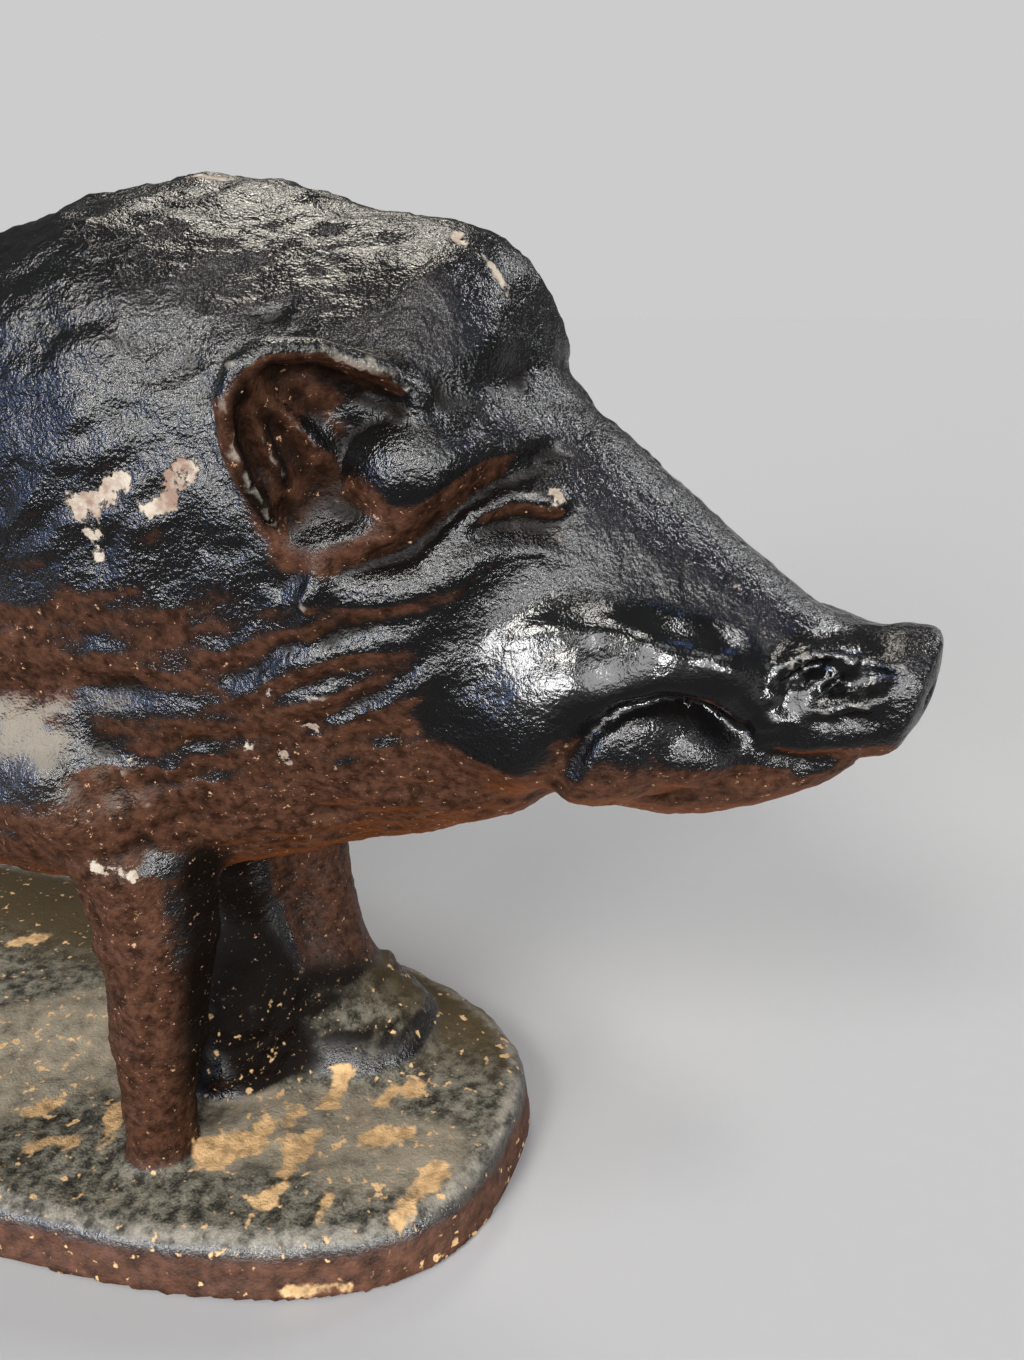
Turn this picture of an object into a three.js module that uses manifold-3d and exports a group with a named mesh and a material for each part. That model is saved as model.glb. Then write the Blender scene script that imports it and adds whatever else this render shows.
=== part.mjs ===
import * as THREE from "three";
import { edgeTable, triTable } from "three/addons/objects/MarchingCubes.js";
import { mergeVertices } from "three/addons/utils/BufferGeometryUtils.js";
import Module from "manifold-3d";

// Cast-iron boar standing on its plinth, one casting.
// Millimetres. +X runs toward the snout, +Y is the boar's left side, +Z is up.
// The origin is the middle of the plinth's underside.

// Plinth
const PLINTH_LENGTH = 178;
const PLINTH_WIDTH = 74;
const PLINTH_THICKNESS = 8.5;
const PLINTH_SQUARENESS = 2.75;
const PLINTH_DRAFT = 0.12;
const PLINTH_EDGE_ROUNDING = 2.4;

// Figure: everything below is a share of this height, in hundredths,
// measured from the middle of the plinth's top.
const STANDING_HEIGHT = 125;
const SHARE = STANDING_HEIGHT / 100;

// Surface sampling, with the room kept around the figure in shares.
const SAMPLE_STEP = 1.2;
const SAMPLE_ROOM = 1.5;
const TRIANGLE_GOAL = 9500;
// The head keeps more of the triangles: share along where it starts, and how much more.
const HEAD_START = 56;
const HEAD_CARE = 3;

// Outline of the trunk and head seen from the side: share along, share up.
const TOP_LINE = [
  [-60, 79.6], [-50, 82], [-38, 84.6], [-22, 86.6], [-6, 88.6], [6, 89.6], [16, 91.9], [22, 94.4],
  [30, 98.2], [36, 99.5], [42.5, 100], [50, 99.4], [56, 97.6], [61, 96.4], [65, 96.1],
  [68.6, 95.2], [71, 93.6], [72.6, 91.4], [73.4, 88.8], [74, 86], [75.2, 83.4],
  [77.2, 81.3], [81, 78.6], [84.6, 75.7], [88.1, 73], [91.7, 70.1],
  [95.3, 67.5], [98, 65.6], [100.2, 64.4], [102.2, 63.8], [104, 63.7], [106, 64.1], [108.5, 64],
];
const BOTTOM_LINE = [
  [-60, 37], [-50, 34.6], [-38, 30.4], [-20, 28.6], [0, 27.6], [20, 27.4], [34, 29.4],
  [45, 34.8], [52.4, 36.8], [58.5, 38], [63, 38.8], [68.6, 40.8], [71.9, 42.2], [74.6, 43.8],
  [76.6, 45.2], [78.2, 45.8],
  [80.2, 45.4], [83.2, 45.2], [86.2, 45], [89.9, 45.3], [93.6, 46.4], [96.2, 47.4], [98.8, 48.7],
  [101.3, 50.4], [102.4, 51.4], [103, 52], [103.3, 52.6], [104.2, 52.9], [106, 53.2], [108.5, 53.5],
];
// Height at which each section is widest.
const GIRTH_LINE = [
  [-60, 58], [-40, 60], [-20, 62], [0, 66], [20, 71], [40, 74], [52, 73], [62, 69],
  [70, 66], [80, 63], [88, 60.5], [96, 57.5], [102, 58], [108, 58.8],
];
const HALF_WIDTHS = [
  [-66, 18], [-55, 20], [-45, 22], [-30, 22.6], [-10, 22.4], [10, 22.4], [30, 22.8], [45, 22.8],
  [56, 21], [64, 18.6], [72, 16.4], [78, 14.4], [84, 12.8], [90, 10.6], [96, 8.8], [101, 7.4],
  [104, 6.6], [106, 6.5], [108.5, 6.5],
];
// How full the roof of each section is: 2 is round, less is ridged.
const ROOF_FULLNESS = [
  [-60, 2], [-20, 1.9], [10, 1.75], [45, 1.7], [65, 1.9], [75, 2.1], [90, 2], [108, 2.2],
];
// The same for the lower half, where more than 2 is boxier.
const KEEL_FULLNESS = [
  [-60, 2.2], [-40, 2.8], [0, 3.2], [34, 3.2], [50, 2.4], [60, 2.1], [80, 2.3], [108, 2.2],
];
// Shares along between which the trunk rounds off behind.
const RUMP_START = -44;
const RUMP_END = -66;

function curve(knots) {
  const count = knots.length;
  const rises = [];
  for (let i = 0; i < count - 1; i += 1) {
    rises.push((knots[i + 1][1] - knots[i][1]) / (knots[i + 1][0] - knots[i][0]));
  }
  const slopes = knots.map((_, i) => {
    if (i === 0 || i === count - 1) {
      return 0;
    }
    const product = rises[i - 1] * rises[i];
    return product <= 0 ? 0 : (2 * product) / (rises[i - 1] + rises[i]);
  });
  return (x) => {
    if (x <= knots[0][0]) {
      return knots[0][1];
    }
    if (x >= knots[count - 1][0]) {
      return knots[count - 1][1];
    }
    let i = 0;
    while (x > knots[i + 1][0]) {
      i += 1;
    }
    const width = knots[i + 1][0] - knots[i][0];
    const t = (x - knots[i][0]) / width;
    const u = 1 - t;
    return (
      knots[i][1] * (1 + 2 * t) * u * u
      + knots[i + 1][1] * t * t * (3 - 2 * t)
      + width * t * u * (slopes[i] * u - slopes[i + 1] * t)
    );
  };
}

const topAt = curve(TOP_LINE);
const bottomAt = curve(BOTTOM_LINE);
const girthAt = curve(GIRTH_LINE);
const halfWidthAt = curve(HALF_WIDTHS);
const roofAt = curve(ROOF_FULLNESS);
const keelAt = curve(KEEL_FULLNESS);

// Rounded masses, on both sides unless one is named: centre, radii,
// lean in the side view in degrees, and how widely each blends into its neighbours.
// The near side is the boar's right.
const BOTH = 0;
const NEAR = -1;
const FAR = 1;
const MASSES = [
  { name: "shoulder", at: [38, 12.4, 77], radii: [19, 10.6, 18], blend: 6 },
  { name: "upper foreleg", at: [32.8, 13.2, 46.6], radii: [12.4, 11.4, 10.8], blend: 1.8 },
  { name: "brisket", at: [44, 6, 47], radii: [13, 10, 11], blend: 5 },
  { name: "haunch", at: [-47, 12.2, 54], radii: [16.5, 10.6, 21], lean: -12, blend: 4 },
  { name: "rump", at: [-54, 6, 64], radii: [11, 11, 15], blend: 6 },
  { name: "flank", at: [-14, 11, 60], radii: [26, 12, 17], blend: 8 },
  { name: "neck", at: [60, 10.8, 72], radii: [13, 9, 17], lean: 16, blend: 6 },
  { name: "cheek", at: [79.4, 10.4, 58.2], radii: [10.8, 7.2, 9], lean: 20, blend: 3.2 },
  { name: "crown", at: [66, 7.6, 86.8], radii: [5.6, 5.2, 6], lean: 10, blend: 2 },
  { name: "eye", at: [77.4, 11.4, 74.6], radii: [2.1, 1.3, 1], lean: 8, blend: 0.5 },
  { name: "lower lip", at: [89.2, 8.2, 55], radii: [5, 5.2, 3.8], lean: 14, blend: 0.8 },
  { name: "front mound", side: FAR, at: [42, 11, -2.5], radii: [14.6, 11.6, 11], blend: 6 },
  { name: "saddle of the front mound", side: FAR, at: [35, 4, 2], radii: [8, 12, 15], blend: 3 },
  { name: "rear mound", side: FAR, at: [-45, 9, -3], radii: [16, 13, 10], blend: 6 },
];

// Limbs, folds and ridges: chains of points with a radius at each.
const CHAINS = [
  {
    name: "near foreleg", side: NEAR, blend: 2.4,
    points: [
      [37.2, 14.6, 38, 7.2], [37.8, 15, 29, 5.8], [36.4, 15.3, 16, 4.7], [35.4, 15.6, 7, 3.7],
      [35, 15.8, 1.5, 3.6],
    ],
  },
  {
    name: "far foreleg", side: FAR, blend: 3,
    points: [[36.4, 14.6, 38, 7.2], [36.6, 13.6, 27, 6.4], [38.2, 12.8, 16, 5.7], [40.8, 12, 5, 6.6]],
  },
  {
    name: "web behind the forelegs", side: FAR, blend: 3,
    points: [[34.2, 5, 37, 5], [33.6, 6, 24, 4.6], [34, 6, 12, 5]],
  },
  {
    name: "near hind leg", side: NEAR, blend: 3,
    points: [
      [-49, 14, 36, 8], [-55.5, 14.6, 23.5, 4.8], [-54, 15, 13, 3.7], [-51, 15.4, 5, 3.6],
      [-49.6, 15.6, 1.5, 3.9],
    ],
  },
  {
    name: "far hind leg", side: FAR, blend: 3,
    points: [[-45, 14, 36, 8], [-50, 14.6, 23.5, 4.8], [-48, 15, 13, 3.9], [-45, 15, 4, 4.2]],
  },
  {
    name: "brow", side: BOTH, blend: 1.6,
    points: [[67.6, 8, 83.5, 3.6], [71, 10, 80.4, 3.2], [74.6, 10.4, 77.6, 2]],
  },
  {
    name: "lip", side: BOTH, blend: 1.5,
    points: [
      [78.4, 13.6, 59.4, 3], [82, 12.8, 61, 3.8], [86, 11.2, 61.9, 4], [91, 8.7, 61.5, 3.4],
      [94.2, 7.8, 59.4, 2.6],
    ],
  },
  {
    name: "tail", side: FAR, blend: 1,
    points: [
      [-58, 0.2, 75.5, 2.2], [-63.6, 0.6, 68.5, 1.9], [-66.4, 1.2, 60, 1.6], [-66.4, 2, 52, 1.5],
      [-64.8, 2.6, 46, 2.1], [-62.6, 3, 41, 1],
    ],
  },
];

// Creases (positive depth) and raised folds (negative depth) drawn on the sides.
const STROKES = [
  {
    name: "eye crease", depth: 2, width: 1.1,
    points: [[76.4, 76.9], [73.7, 75.6], [71, 73.6], [68.9, 71.6], [66.4, 70.6], [63.9, 70]],
  },
  {
    name: "upper lid", depth: -0.7, width: 0.9,
    points: [[72.8, 74], [75.2, 75.3], [77.8, 75.6], [80.8, 74.4]],
  },
  {
    name: "lower lid", depth: 0.8, width: 0.9,
    points: [[72.2, 71.9], [74.2, 73], [76.4, 73.4], [79, 72.6]],
  },
  { name: "brow valley", depth: 1, width: 1.8, points: [[69.6, 82.4], [72.4, 82.6], [75, 84.6]] },
  {
    name: "cheek ridge", depth: -0.5, width: 1.2,
    points: [[76.4, 64.4], [80, 65.8], [84, 66.2], [88, 65.2], [92, 63.6], [95, 62]],
  },
  {
    name: "muzzle hollow", depth: 0.3, width: 2,
    points: [[83.4, 70.4], [88, 68], [92, 66], [95.4, 64]],
  },
  {
    name: "lip crease", depth: 1.7, width: 0.8,
    points: [[81.8, 54.4], [83.4, 57.8], [85.6, 59.6], [88.4, 60.1], [91.2, 59], [94.4, 56.4]],
  },
  {
    name: "jaw edge", depth: 1.1, width: 1.6,
    points: [[83, 58.4], [80.8, 54.4], [78.8, 50], [77.6, 45]],
  },
  { name: "mouth slit", depth: 1.3, width: 0.8, points: [[96, 54.8], [98.8, 53.8], [102, 54.2]] },
  {
    name: "nostril ridge", depth: -0.7, width: 0.8,
    points: [[96, 62], [97.9, 63.2], [100.2, 62.8], [103, 63]],
  },
  {
    name: "nostril groove", depth: 0.9, width: 0.8,
    points: [[97, 58.8], [99.7, 60.9], [102.1, 60.3], [104.4, 61.2]],
  },
  { name: "snout fold", depth: -0.6, width: 0.8, points: [[95.6, 57.4], [98.5, 58.2], [102, 58.4]] },
  { name: "lip end", depth: 0.4, width: 0.8, points: [[95.4, 62], [95.8, 57]] },
  {
    name: "fold under the eye", depth: -0.8, width: 1.3,
    points: [[64, 67], [69, 68], [71.7, 68.8], [75, 71.4]],
  },
  {
    name: "first groove", depth: 0.6, width: 1.2,
    points: [[54, 60.8], [60, 63.6], [65, 65.2], [71, 67]],
  },
  {
    name: "first fold", depth: -0.7, width: 1.2,
    points: [[53, 57.6], [59.5, 61.6], [63.4, 62.9], [69, 64.4]],
  },
  { name: "second groove", depth: 0.5, width: 1, points: [[56, 57.8], [62, 60.8], [68, 62.4]] },
  {
    name: "second fold", depth: -0.6, width: 1.2,
    points: [[52, 54.8], [57, 57.6], [62.4, 59.8], [66.6, 61]],
  },
  { name: "third groove", depth: 0.4, width: 1, points: [[57, 55.4], [62, 57.6], [66, 59.4]] },
  { name: "third fold", depth: -0.6, width: 1.1, points: [[65.6, 57], [68.6, 59.6], [72, 62.6]] },
  { name: "fin", depth: -1.1, width: 0.9, points: [[63.8, 72], [62.5, 68.7], [61.3, 64]] },
  {
    name: "shoulder ledge", depth: 1.3, width: 1.8,
    points: [[18, 55.6], [29, 56.2], [37, 57.4], [46, 58.6]],
  },
  { name: "elbow crease", depth: 0.9, width: 2.2, points: [[22, 39.4], [29, 40.6], [36, 41]] },
  {
    name: "outer foreleg groove", depth: 1, width: 1.2,
    points: [[36.6, 52], [38.5, 47.1], [39.4, 40.6]],
  },
  {
    name: "inner foreleg groove", depth: 0.9, width: 1.2,
    points: [[39.4, 53], [40.9, 46.6], [41.6, 40.4]],
  },
  { name: "flank fold", depth: 0.9, width: 2.4, points: [[-32, 64], [-30, 52], [-32, 38]] },
];

// The snout's front disc: a tilted, slightly domed face.
const SNOUT_FACE = { at: [108.5, 0, 59], tilt: 12.6, dome: 0.037 };
const NOSTRIL = { at: [109.2, 3, 59.2], radii: [2.2, 1.3, 1.7], blend: 0.4 };

function smoothUnion(a, b, blend) {
  const overlap = Math.max(blend - Math.abs(a - b), 0);
  return Math.min(a, b) - (overlap * overlap) / (4 * blend);
}

function smoothCut(a, b, blend) {
  return -smoothUnion(-a, b, blend);
}

function sectionAt(x) {
  return {
    top: topAt(x),
    bottom: bottomAt(x),
    girth: girthAt(x),
    half: halfWidthAt(x),
    roof: roofAt(x),
    keel: keelAt(x),
  };
}

function ease(value, low, high) {
  const t = Math.min(Math.max((value - low) / (high - low), 0), 1);
  return t * t * (3 - 2 * t);
}

function fillOf(section, x, y, z) {
  const above = z > section.girth;
  const reach = above ? section.top - section.girth : section.girth - section.bottom;
  const rise = Math.abs(z - section.girth) / reach;
  const side = Math.abs(y) / section.half;
  const behind = Math.max(RUMP_START - x, 0) / (RUMP_START - RUMP_END);
  const power = section.keel + (section.roof - section.keel) * ease(z - section.girth, -4, 4);
  return Math.sqrt(side ** power + rise ** 2.1 + behind ** 2.2);
}

const SLOPE_STEP = 0.4;
const sections = { x: NaN, here: null, before: null, after: null };

function trunk(x, y, z) {
  if (sections.x !== x) {
    sections.x = x;
    sections.here = sectionAt(x);
    sections.before = sectionAt(x - SLOPE_STEP);
    sections.after = sectionAt(x + SLOPE_STEP);
  }
  const fill = fillOf(sections.here, x, y, z);
  const h = SLOPE_STEP;
  const dx = (fillOf(sections.after, x + h, y, z) - fillOf(sections.before, x - h, y, z)) / (2 * h);
  const dy = (fillOf(sections.here, x, Math.abs(y) + h, z) - fill) / h;
  const dz = (fillOf(sections.here, x, y, z + h) - fillOf(sections.here, x, y, z - h)) / (2 * h);
  const slope = Math.max(Math.hypot(dx, dy, dz), 0.02);
  return (fill - 1) / slope;
}

function snoutFace(x, y, z) {
  const tilt = (SNOUT_FACE.tilt * Math.PI) / 180;
  const dx = x - SNOUT_FACE.at[0];
  const dz = z - SNOUT_FACE.at[2];
  const out = dx * Math.cos(tilt) - dz * Math.sin(tilt);
  const up = dx * Math.sin(tilt) + dz * Math.cos(tilt);
  return out + SNOUT_FACE.dome * Math.min(up * up + y * y, 100);
}

function prepareMass(mass) {
  const lean = ((mass.lean ?? 0) * Math.PI) / 180;
  return {
    ...mass,
    side: mass.side ?? BOTH,
    cos: Math.cos(lean),
    sin: Math.sin(lean),
    reach: Math.max(...mass.radii) + mass.blend + 4,
  };
}

function massDistance(mass, x, y, z) {
  const dx = x - mass.at[0];
  const dz = z - mass.at[2];
  const a = (dx * mass.cos - dz * mass.sin) / mass.radii[0];
  const b = (y - mass.at[1]) / mass.radii[1];
  const c = (dx * mass.sin + dz * mass.cos) / mass.radii[2];
  const size = Math.sqrt(a * a + b * b + c * c);
  const slope = Math.hypot(a / mass.radii[0], b / mass.radii[1], c / mass.radii[2]);
  return slope < 1e-6 ? -Math.min(...mass.radii) : (size * (size - 1)) / slope;
}

function chainDistance(points, x, y, z) {
  let best = Infinity;
  for (let i = 0; i < points.length - 1; i += 1) {
    const [ax, ay, az, ar] = points[i];
    const [bx, by, bz, br] = points[i + 1];
    const ux = bx - ax;
    const uy = by - ay;
    const uz = bz - az;
    const along = ((x - ax) * ux + (y - ay) * uy + (z - az) * uz) / (ux * ux + uy * uy + uz * uz);
    const t = Math.min(Math.max(along, 0), 1);
    const gap = Math.hypot(x - ax - ux * t, y - ay - uy * t, z - az - uz * t) - (ar + (br - ar) * t);
    best = best === Infinity ? gap : smoothUnion(best, gap, 1);
  }
  return best;
}

function prepareStroke(stroke) {
  const xs = stroke.points.map((point) => point[0]);
  const zs = stroke.points.map((point) => point[1]);
  const reach = stroke.width * 2.4;
  return {
    ...stroke,
    low: [Math.min(...xs) - reach, Math.min(...zs) - reach],
    high: [Math.max(...xs) + reach, Math.max(...zs) + reach],
  };
}

function strokeDepth(stroke, x, z) {
  if (x < stroke.low[0] || x > stroke.high[0] || z < stroke.low[1] || z > stroke.high[1]) {
    return 0;
  }
  const spans = stroke.points.length - 1;
  let nearest = Infinity;
  let place = 0;
  for (let i = 0; i < spans; i += 1) {
    const [ax, az] = stroke.points[i];
    const [bx, bz] = stroke.points[i + 1];
    const ux = bx - ax;
    const uz = bz - az;
    const along = ((x - ax) * ux + (z - az) * uz) / (ux * ux + uz * uz);
    const t = Math.min(Math.max(along, 0), 1);
    const gap = Math.hypot(x - ax - ux * t, z - az - uz * t);
    if (gap < nearest) {
      nearest = gap;
      place = (i + t) / spans;
    }
  }
  const taper = Math.sqrt(Math.sin(Math.PI * (0.03 + 0.94 * place)));
  return stroke.depth * taper * Math.exp(-((nearest / stroke.width) ** 2));
}

// Ear: a cupped leaf in its own plane, open forward and outward.
const EAR = {
  at: [64.2, 21.6, 80],
  reach: 16.1,
  rim: [
    [-8.4, 2.8], [-5.6, 5.2], [-0.4, 7], [3.4, 7], [6.2, 5.6], [7.2, 3], [7, -0.4],
    [6, -3.2], [4.4, -5.8], [2, -8], [-1.8, -5.8], [-4.6, -2],
  ],
  facing: 46,
  droop: 6.5,
  // The leaf: how far back its middle lies, its thickness, edge rounding and narrowing behind.
  setBack: 3.4,
  thickness: 8.8,
  rounding: 1.1,
  narrowing: 0.42,
  depth: 4.4,
  wall: 1.5,
  // The cup opens into the head low in front: how far the rim steps back there, which way in
  // the leaf's plane, over what stretch that way, and below what height.
  opening: { depth: 3, toward: [-0.72, -0.69], stretch: [0.4, 3.8], below: [2.4, -0.6] },
};
const EAR_FOLDS = [
  {
    name: "upper groove", depth: 2, width: 0.9,
    points: [[4.6, 4.9], [-0.4, 4.9], [-3.9, 3.7], [-6.6, 2]],
  },
  { name: "front fold", depth: -1.5, width: 0.8, points: [[4.8, 4.2], [1.4, 0.9], [-1.6, -2.4]] },
  { name: "back fold", depth: -1.2, width: 0.7, points: [[5.2, 3], [3.2, -1], [1.4, -4.5]] },
  {
    name: "back groove", depth: 1.8, width: 0.8,
    points: [[5.9, 3.5], [5.4, 0.3], [4.2, -3.3], [2.6, -6]],
  },
].map(prepareStroke);

const facing = (EAR.facing * Math.PI) / 180;
const droop = (EAR.droop * Math.PI) / 180;
// The ear's own axes with the boar's outward side as +Y.
const EAR_OUT = [Math.cos(facing) * Math.cos(droop), Math.sin(facing) * Math.cos(droop), -Math.sin(droop)];
const EAR_UP = [Math.cos(facing) * Math.sin(droop), Math.sin(facing) * Math.sin(droop), Math.cos(droop)];
const EAR_BACK = [-Math.sin(facing), Math.cos(facing), 0];

function outlineDistance(outline, u, v) {
  let nearest = Infinity;
  let inside = false;
  for (let i = 0; i < outline.length; i += 1) {
    const [ax, ay] = outline[i];
    const [bx, by] = outline[(i + 1) % outline.length];
    const ux = bx - ax;
    const uy = by - ay;
    const along = ((u - ax) * ux + (v - ay) * uy) / (ux * ux + uy * uy);
    const t = Math.min(Math.max(along, 0), 1);
    nearest = Math.min(nearest, Math.hypot(u - ax - ux * t, v - ay - uy * t));
    if (ay > v !== by > v && u < ax + (ux * (v - ay)) / uy) {
      inside = !inside;
    }
  }
  return inside ? -nearest : nearest;
}

function addEar(body, x, y, z) {
  const dx = x - EAR.at[0];
  const dy = y - EAR.at[1];
  const dz = z - EAR.at[2];
  if (Math.hypot(dx, dy, dz) > EAR.reach) {
    return body;
  }
  const out = dx * EAR_OUT[0] + dy * EAR_OUT[1] + dz * EAR_OUT[2];
  const up = dx * EAR_UP[0] + dy * EAR_UP[1] + dz * EAR_UP[2];
  const back = dx * EAR_BACK[0] + dy * EAR_BACK[1];
  const edge = outlineDistance(EAR.rim, back, up);
  const across = edge + EAR.narrowing * Math.max(-out - 1, 0) + EAR.rounding;
  const { depth, toward, stretch, below } = EAR.opening;
  const opened = depth * ease(toward[0] * back + toward[1] * up, ...stretch) * ease(up, ...below);
  const face = Math.abs(out + EAR.setBack + opened) - EAR.thickness / 2 + EAR.rounding;
  const inner = Math.min(Math.max(across, face), 0);
  const leaf = Math.hypot(Math.max(across, 0), Math.max(face, 0)) + inner - EAR.rounding;
  const wall = EAR.wall - opened;
  const inset = Math.max(-edge - wall, 0);
  let floor = 1 - EAR.depth * (1 - Math.exp(-inset / 1.3));
  for (const fold of EAR_FOLDS) {
    floor -= strokeDepth(fold, back, up);
  }
  const cup = Math.max(edge + wall - 0.3, floor - out, out - 5);
  return smoothCut(smoothUnion(body, leaf, 2), cup, 0.7);
}

// The bulge before the ear, joined after the ear is hollowed. The folds stay clear of the ear.
const TEMPLE = { name: "temple", at: [68.4, 13.6, 77.2], radii: [6.2, 6.4, 5], lean: -8, blend: 1 };
const FOLDS_CLEAR_OF_EAR = { from: 8.2, to: 10 };
const temple = prepareMass({ side: BOTH, ...TEMPLE });
const masses = MASSES.map(prepareMass);
const nostril = prepareMass(NOSTRIL);
const strokes = STROKES.map(prepareStroke);

// Signed distance, in shares, to the figure's surface; negative inside.
function figure(x, y, z) {
  const off = Math.abs(y);
  let body = smoothCut(trunk(x, y, z), -snoutFace(x, y, z), 0.8);
  for (const mass of masses) {
    const own = mass.side === BOTH ? off : y * mass.side;
    const gap = Math.hypot(x - mass.at[0], own - mass.at[1], z - mass.at[2]);
    if (gap < mass.reach) {
      body = smoothUnion(body, massDistance(mass, x, own, z), mass.blend);
    }
  }
  for (const chain of CHAINS) {
    const own = chain.side === BOTH ? off : y * chain.side;
    const gap = chainDistance(chain.points, x, own, z);
    if (gap < chain.blend + 4) {
      body = smoothUnion(body, gap, chain.blend);
    }
  }
  body = smoothUnion(addEar(body, x, off, z), massDistance(temple, x, off, z), temple.blend);
  if (Math.abs(body) < 6) {
    const flank = Math.min(Math.max((off - 2) / 4, 0), 1);
    const gap = Math.hypot(x - EAR.at[0], off - EAR.at[1], z - EAR.at[2]);
    const share = flank * ease(gap, FOLDS_CLEAR_OF_EAR.from, FOLDS_CLEAR_OF_EAR.to);
    for (const stroke of strokes) {
      body += share * strokeDepth(stroke, x, z);
    }
  }
  if (x > 100) {
    body = smoothCut(body, massDistance(nostril, x, off, z), nostril.blend);
  }
  return body;
}

// Gentle rise and fall of the ground the boar stands on.
function groundRise(x, y) {
  const swell = Math.sin(x * 0.071 + 0.6) * Math.cos(y * 0.13 - 0.4) + 0.6 * Math.sin(x * 0.16 - y * 0.11);
  return 0.55 * swell;
}

function plinth(x, y, z) {
  const taper = PLINTH_DRAFT * z;
  const halfLength = PLINTH_LENGTH / 2 - taper;
  const halfWidth = PLINTH_WIDTH / 2 - taper;
  const u = Math.abs(x) / halfLength;
  const v = Math.abs(y) / halfWidth;
  const n = PLINTH_SQUARENESS;
  const size = (u ** n + v ** n) ** (1 / n);
  const slope = Math.hypot(
    (u / Math.max(size, 0.2)) ** (n - 1) / halfLength,
    (v / Math.max(size, 0.2)) ** (n - 1) / halfWidth,
  );
  const wall = (size - 1) / Math.max(slope, 0.008);
  const crown = z - PLINTH_THICKNESS - groundRise(x, y) * Math.min(Math.max(-wall / 12, 0), 1);
  const r = PLINTH_EDGE_ROUNDING;
  const rounded = Math.hypot(Math.max(wall + r, 0), Math.max(crown + r, 0)) - r;
  return rounded + Math.min(Math.max(wall + r, crown + r), 0);
}

// Signed distance, in millimetres, to the whole casting.
function casting(x, y, z) {
  const base = plinth(x, y, z);
  const up = (z - PLINTH_THICKNESS) / SHARE;
  if (up < -6) {
    return base;
  }
  return smoothUnion(base, SHARE * figure(x / SHARE, y / SHARE, up), 2.6);
}

const CORNERS = [
  [0, 0, 0], [1, 0, 0], [1, 1, 0], [0, 1, 0],
  [0, 0, 1], [1, 0, 1], [1, 1, 1], [0, 1, 1],
];
const EDGES = [
  [0, 1], [1, 2], [2, 3], [3, 0], [4, 5], [5, 6],
  [6, 7], [7, 4], [0, 4], [1, 5], [2, 6], [3, 7],
];

// Samples the field on a grid and lays triangles where it crosses zero.
function skin(field, low, high, step) {
  const size = low.map((from, axis) => Math.ceil((high[axis] - from) / step) + 1);
  const values = new Float64Array(size[0] * size[1] * size[2]);
  const indexOf = (i, j, k) => (i * size[1] + j) * size[2] + k;
  const far = 2 ** 10;
  values.fill(far);
  const block = 4;
  for (let i = 0; i < size[0]; i += block) {
    for (let j = 0; j < size[1]; j += block) {
      for (let k = 0; k < size[2]; k += block) {
        const middle = [i, j, k].map((n, axis) => low[axis] + (n + (block - 1) / 2) * step);
        const value = field(...middle);
        const near = Math.abs(value) < step * block * 1.6;
        for (let a = i; a < Math.min(i + block, size[0]); a += 1) {
          for (let b = j; b < Math.min(j + block, size[1]); b += 1) {
            for (let c = k; c < Math.min(k + block, size[2]); c += 1) {
              values[indexOf(a, b, c)] = near
                ? field(low[0] + a * step, low[1] + b * step, low[2] + c * step)
                : value;
            }
          }
        }
      }
    }
  }
  const points = [];
  const faces = [];
  const known = new Map();
  const pointOn = (i, j, k, edge) => {
    const ends = EDGES[edge].map((corner) => CORNERS[corner].map((d, axis) => d + [i, j, k][axis]));
    const ids = ends.map((end) => indexOf(...end));
    if (ids[0] > ids[1]) {
      ids.reverse();
      ends.reverse();
    }
    const key = ids[0] * 4 + [1, 2, 3].find((n) => ends[1][n - 1] !== ends[0][n - 1]);
    if (!known.has(key)) {
      const share = values[ids[0]] / (values[ids[0]] - values[ids[1]]);
      const t = Math.min(Math.max(share, 0.08), 0.92);
      known.set(key, points.length / 3);
      for (let axis = 0; axis < 3; axis += 1) {
        points.push(low[axis] + step * (ends[0][axis] + t * (ends[1][axis] - ends[0][axis])));
      }
    }
    return known.get(key);
  };
  for (let i = 0; i < size[0] - 1; i += 1) {
    for (let j = 0; j < size[1] - 1; j += 1) {
      for (let k = 0; k < size[2] - 1; k += 1) {
        let pattern = 0;
        for (let corner = 0; corner < 8; corner += 1) {
          const [a, b, c] = CORNERS[corner];
          if (values[indexOf(i + a, j + b, k + c)] < 0) {
            pattern |= 1 << corner;
          }
        }
        if (edgeTable[pattern] === 0) {
          continue;
        }
        for (let n = pattern * 16; triTable[n] !== -1; n += 3) {
          faces.push(pointOn(i, j, k, triTable[n]));
          faces.push(pointOn(i, j, k, triTable[n + 2]));
          faces.push(pointOn(i, j, k, triTable[n + 1]));
        }
      }
    }
  }
  return { points, faces };
}

// Smallest-first queue of edges waiting to be closed up.
class Queue {
  constructor() {
    this.items = [];
  }

  push(item) {
    const { items } = this;
    let at = items.length;
    items.push(item);
    while (at > 0) {
      const parent = (at - 1) >> 1;
      if (items[parent].cost <= item.cost) {
        break;
      }
      items[at] = items[parent];
      at = parent;
    }
    items[at] = item;
  }

  pop() {
    const { items } = this;
    const first = items[0];
    const last = items.pop();
    if (items.length > 0) {
      let at = 0;
      for (;;) {
        let child = 2 * at + 1;
        if (child >= items.length) {
          break;
        }
        if (child + 1 < items.length && items[child + 1].cost < items[child].cost) {
          child += 1;
        }
        if (items[child].cost >= last.cost) {
          break;
        }
        items[at] = items[child];
        at = child;
      }
      items[at] = last;
    }
    return first;
  }
}

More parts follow.
